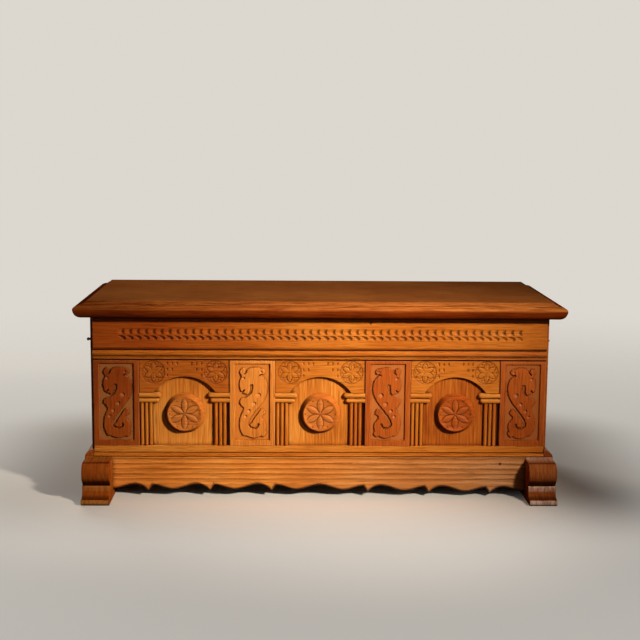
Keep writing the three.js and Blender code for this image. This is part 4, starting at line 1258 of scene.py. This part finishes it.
# painted highlight on the upper nose, strongest at the right end
upper = np.array([float(ease((height - sheen_start) / sheen_rise)) for inset, height in section])
front = swept("lid_front_nose", rings, {"rubbed": [left_sheen * upper, right_sheen * upper]})
finish = oak("polished brown oak, lid front moulding", lid_edge, "x", roughness=0.38, wear_and_highlight_tone="cc7a38",
             shine=0.0)
fit(soften(front, 0.5 * mm), finish, "lid_oak", "lid_front_moulding", body="lid")

for side_name, direction in (("left", -1), ("right", 1)):
    rings = [[(direction * (side_edge - inset), front_edge + inset + mitre_gap / 2, lid_bottom + height)
              for inset, height in section],
             [(direction * (side_edge - inset), board_high.y, lid_bottom + height)
              for inset, height in section]]
    length = swept(f"lid_{side_name}_nose", rings)
    finish = oak(f"polished brown oak, lid {side_name} moulding", lid_edge, "y", roughness=0.42, shine=0.0)
    fit(soften(length, 0.5 * mm), finish, "lid_oak", f"lid_{side_name}_moulding", body="lid")

finish = oak("polished brown oak, lid board", lid_brown, "top", roughness=0.5, shine=0.0)
keep("lid_board", finish, 0.6 * mm)
print("lid is", round(2 * side_edge / mm), "mm long")

# %% [markdown]
# ## Plain boards
# The sides are honey oak like the front. The front is glued up of two boards, and the one behind the
# right-hand bay is the darker. The back, the bottom, the bearers and the battens under the lid were planed
# and left bare, as in most old chests. None of these is carved, so their plain solids stay.

# %% Plain boards
for side_name in ("left", "right"):
    keep(f"{side_name}_side_board", oak(f"honey oak, {side_name} side", deep_honey, "y"))
glue_line = 200 * mm
finish = oak("honey oak, niche boards", pale_honey, "z", ring_share=0.05, streak_width=4.6 * mm, contrast=0.2,
             pore_width=3 * mm, pore_share=0.3, second=(glue_line - mm, glue_line + mm, deep_honey))
keep("front_board", finish)
bare_boards = {"back_board": "x", "bottom_board": "top", "front_bearer": "x", "back_bearer": "x",
               "back_plinth_rail": "x", "lid_left_batten": "y", "lid_right_batten": "y"}
for node, grain in bare_boards.items():
    finish = oak(f"bare planed oak, {node.replace('_', ' ')}", bare, grain, 0.62, hollow_tone="6b4a2a")
    keep(node, finish)
print("boards left bare:", len(bare_boards))

# %% [markdown]
# ## Iron
# The hinges and drop handles are forged iron, blackened in the fire and oiled. The surface is never quite
# black: hammer facets catch a dull light, and a little rust shows in patches. One material serves all the
# ironwork, because its pattern is worked out in space and so falls differently on every piece.

# %% Blackened iron
hammer_width, pit_width, rust_width = 7 * mm, 2.5 * mm, 18 * mm
hammer_depth, hammer_strength = 0.3 * mm, 0.5
scale_tone, rust_tone = "38342f", "4a2a18"
rust_start, rust_full, rust_share = 0.55, 0.75, 0.5
oiled, dull, metal_share = 0.38, 0.66, 0.85
hinge_parts = ("hinge_lower_leaf", "hinge_upper_leaf", "hinge_pin")


def iron(name):
    """Forged iron: black scale with hammer facets, pits and a little rust."""
    material, tree = new_material(name)
    place = add(tree, "ShaderNodeTexCoord").outputs["Object"]
    sockets = {"Vector": place, "Scale": 1 / hammer_width}
    facets = add(tree, "ShaderNodeTexVoronoi", sockets, feature="SMOOTH_F1")
    pits = noise(tree, place, 1 / pit_width, 3.0)
    patches = noise(tree, place, 1 / rust_width, 3.0)
    rust = spread(tree, patches, rust_start, rust_full, high=rust_share)
    colour = mixed_colour(tree, rust, linear(scale_tone), linear(rust_tone))
    rough = spread(tree, pits, 0.0, 1.0, oiled, dull)
    height = maths(tree, "ADD", facets.outputs["Distance"], pits)
    sockets = {"Height": height, "Distance": hammer_depth, "Strength": hammer_strength}
    skin = add(tree, "ShaderNodeBump", sockets).outputs[0]
    surface = add(tree, "ShaderNodeBsdfPrincipled", {
        "Base Color": colour, "Metallic": metal_share, "Roughness": rough, "Normal": skin,
    })
    add(tree, "ShaderNodeOutputMaterial", {0: surface.outputs[0]})
    return material


black_iron = iron("blackened forged iron")
for side_name in ("left", "right"):
    for part in hinge_parts:
        keep(f"{side_name}_{part}", black_iron, 0.3 * mm)
print("pieces of a hinge in black iron:", len(hinge_parts))

# %% [markdown]
# ## Drop handles
# Each handle is a plate with two ball-ended posts and a bail that swings in them. The bail is one rod, bent
# round and left a little thicker where the hand takes it: half of its path is drawn, mirrored, and swept with
# a round section. It rides on its own body, so it swings with its joint.

# %% Handles
post_spacing, ball_radius = 120 * mm, 7 * mm
rod_radius, rod_swell, rod_gap = 3 * mm, 0.5 * mm, 0.3 * mm
bail_drop, bail_shoulder, bail_leg, bail_end = 50 * mm, 9 * mm, 13 * mm, 8 * mm
bail_spread = 18 * mm


def cubic(a, b, c, d, steps):
    """A cubic curve between a and d, without its last point."""
    t = np.linspace(0, 1, steps, endpoint=False)[:, None]
    a, b, c, d = (np.array(p, float) for p in (a, b, c, d))
    return ((1 - t) ** 3 * a + 3 * t * (1 - t) ** 2 * b + 3 * t * t * (1 - t) * c + t ** 3 * d).tolist()


def bail_rings(centre):
    """Rings of the bail: a path in Y and Z at one distance from the side of the chest."""
    half = post_spacing / 2
    shoulder = half + ball_radius + rod_gap
    leg = shoulder + bail_shoulder
    path = [(half - bail_end, 0), (shoulder, 0)]
    path += bow((shoulder, 0), (leg, 0), (leg, -bail_shoulder), 8)[1:]
    path += cubic((leg, -bail_leg), (leg, -bail_drop), (bail_spread, -bail_drop), (0, -bail_drop), 22)
    mirrored = [(-y, z) for y, z in reversed(path)]
    path = np.array(path + [(0, -bail_drop)] + mirrored)
    ahead = np.gradient(path, axis=0)
    ahead /= np.linalg.norm(ahead, axis=1)[:, None]
    rings = []
    for (y, z), (ty, tz) in zip(path, ahead):
        radius = rod_radius + rod_swell * float(ease((-z - 0.5 * bail_drop) / (0.5 * bail_drop)))
        ring = []
        for turn in np.linspace(0, 2 * math.pi, 16, endpoint=False):
            off, lift = radius * math.cos(turn), radius * math.sin(turn)
            ring.append((centre.x + off, centre.y + y + lift * tz, centre.z + z - lift * ty))
        rings.append(ring)
    return rings


for side_name in ("left", "right"):
    joint = next(j for j in frame["joints"] if j["name"] == f"{side_name}_bail_swing")
    pivot = Vector(joint["pos_m"])
    bail = swept(f"{side_name}_forged_bail", bail_rings(pivot), crisp=60)
    fit(bail, black_iron, "black_iron", f"{side_name}_handle_bail", body=f"{side_name}_bail")
    keep(f"{side_name}_handle_plate", black_iron, 0.4 * mm)
print("bails hang", round(bail_drop / mm), "mm below their posts")

# %% [markdown]
# ## Screws
# The hinge leaves and the handle plates are held by slotted screws, forged like the rest. A head is a low
# dome with a slot sawn across it, and no two slots end up at the same angle. Each head is a small square grid
# of points, stretched to a round one, and the points inside the slot are pushed back.

# %% Screws
head_radius, head_height, slot_half, slot_depth = 4 * mm, 0.9 * mm, 0.6 * mm, 0.5 * mm
leaf_height, leaf_behind = 34 * mm, 7.5 * mm
leaf_screws, screw_stagger = (0.16, 0.5, 0.84), 6 * mm
plate_thickness, plate_screw_shift = 2.5 * mm, 32 * mm


def screw(name, place, out, body):
    """A slotted screw head at a place on an upright surface that faces the direction out."""
    turn = chance.uniform(0, math.pi)
    across = np.linspace(-1, 1, 17) * head_radius
    a, b = np.meshgrid(across, across)
    stretch = np.maximum(np.abs(a), np.abs(b)) / np.maximum(np.hypot(a, b), 1e-9)
    a, b = a * stretch, b * stretch
    radius = np.hypot(a, b)
    height = head_height * np.sqrt(np.clip(1 - 0.9 * (radius / head_radius) ** 2, 0, 1))
    height -= slot_depth * (np.abs(a * math.sin(turn) - b * math.cos(turn)) < slot_half)
    side = Vector((0, 0, 1)).cross(out)
    points = [place + side * float(u) + Vector((0, 0, float(v))) + out * float(w)
              for u, v, w in zip(a.ravel(), b.ravel(), height.ravel())]
    faces, rim = backed_grid(a.shape)
    base = [points[i] - out * (points[i] - place).dot(out) for i in rim]
    return fit(make_piece(name, [*points, *base], faces), black_iron, "black_iron", body=body)


screws = []
for side_name, outwards in (("left", -1), ("right", 1)):
    low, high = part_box(f"{side_name}_handle_plate")
    inner = min(abs(low.x), abs(high.x)) + plate_thickness
    for number, shift in enumerate((-plate_screw_shift, plate_screw_shift), 1):
        place = Vector((outwards * inner, (low.y + high.y) / 2 + shift, (low.z + high.z) / 2))
        out = Vector((outwards, 0, 0))
        screws.append(screw(f"{side_name}_handle_screw_{number}", place, out, "carcase"))
    for part, body in (("lower", "carcase"), ("upper", "lid")):
        low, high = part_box(f"{side_name}_hinge_{part}_leaf")
        level = low.z + leaf_height / 2 if part == "lower" else high.z - leaf_height / 2
        for number, share in enumerate(leaf_screws, 1):
            lift = screw_stagger if number == 2 else -screw_stagger
            place = Vector((low.x + share * (high.x - low.x), high.y - leaf_behind, level + lift))
            out = Vector((0, 1, 0))
            screws.append(screw(f"{side_name}_hinge_{part}_screw_{number}", place, out, body))
print("screws in the ironwork:", len(screws))

# %% [markdown]
# ## Pieces made
# The last cell counts the pieces that this lesson made.

# %% Pieces made
print("pieces made:", len(new_pieces))
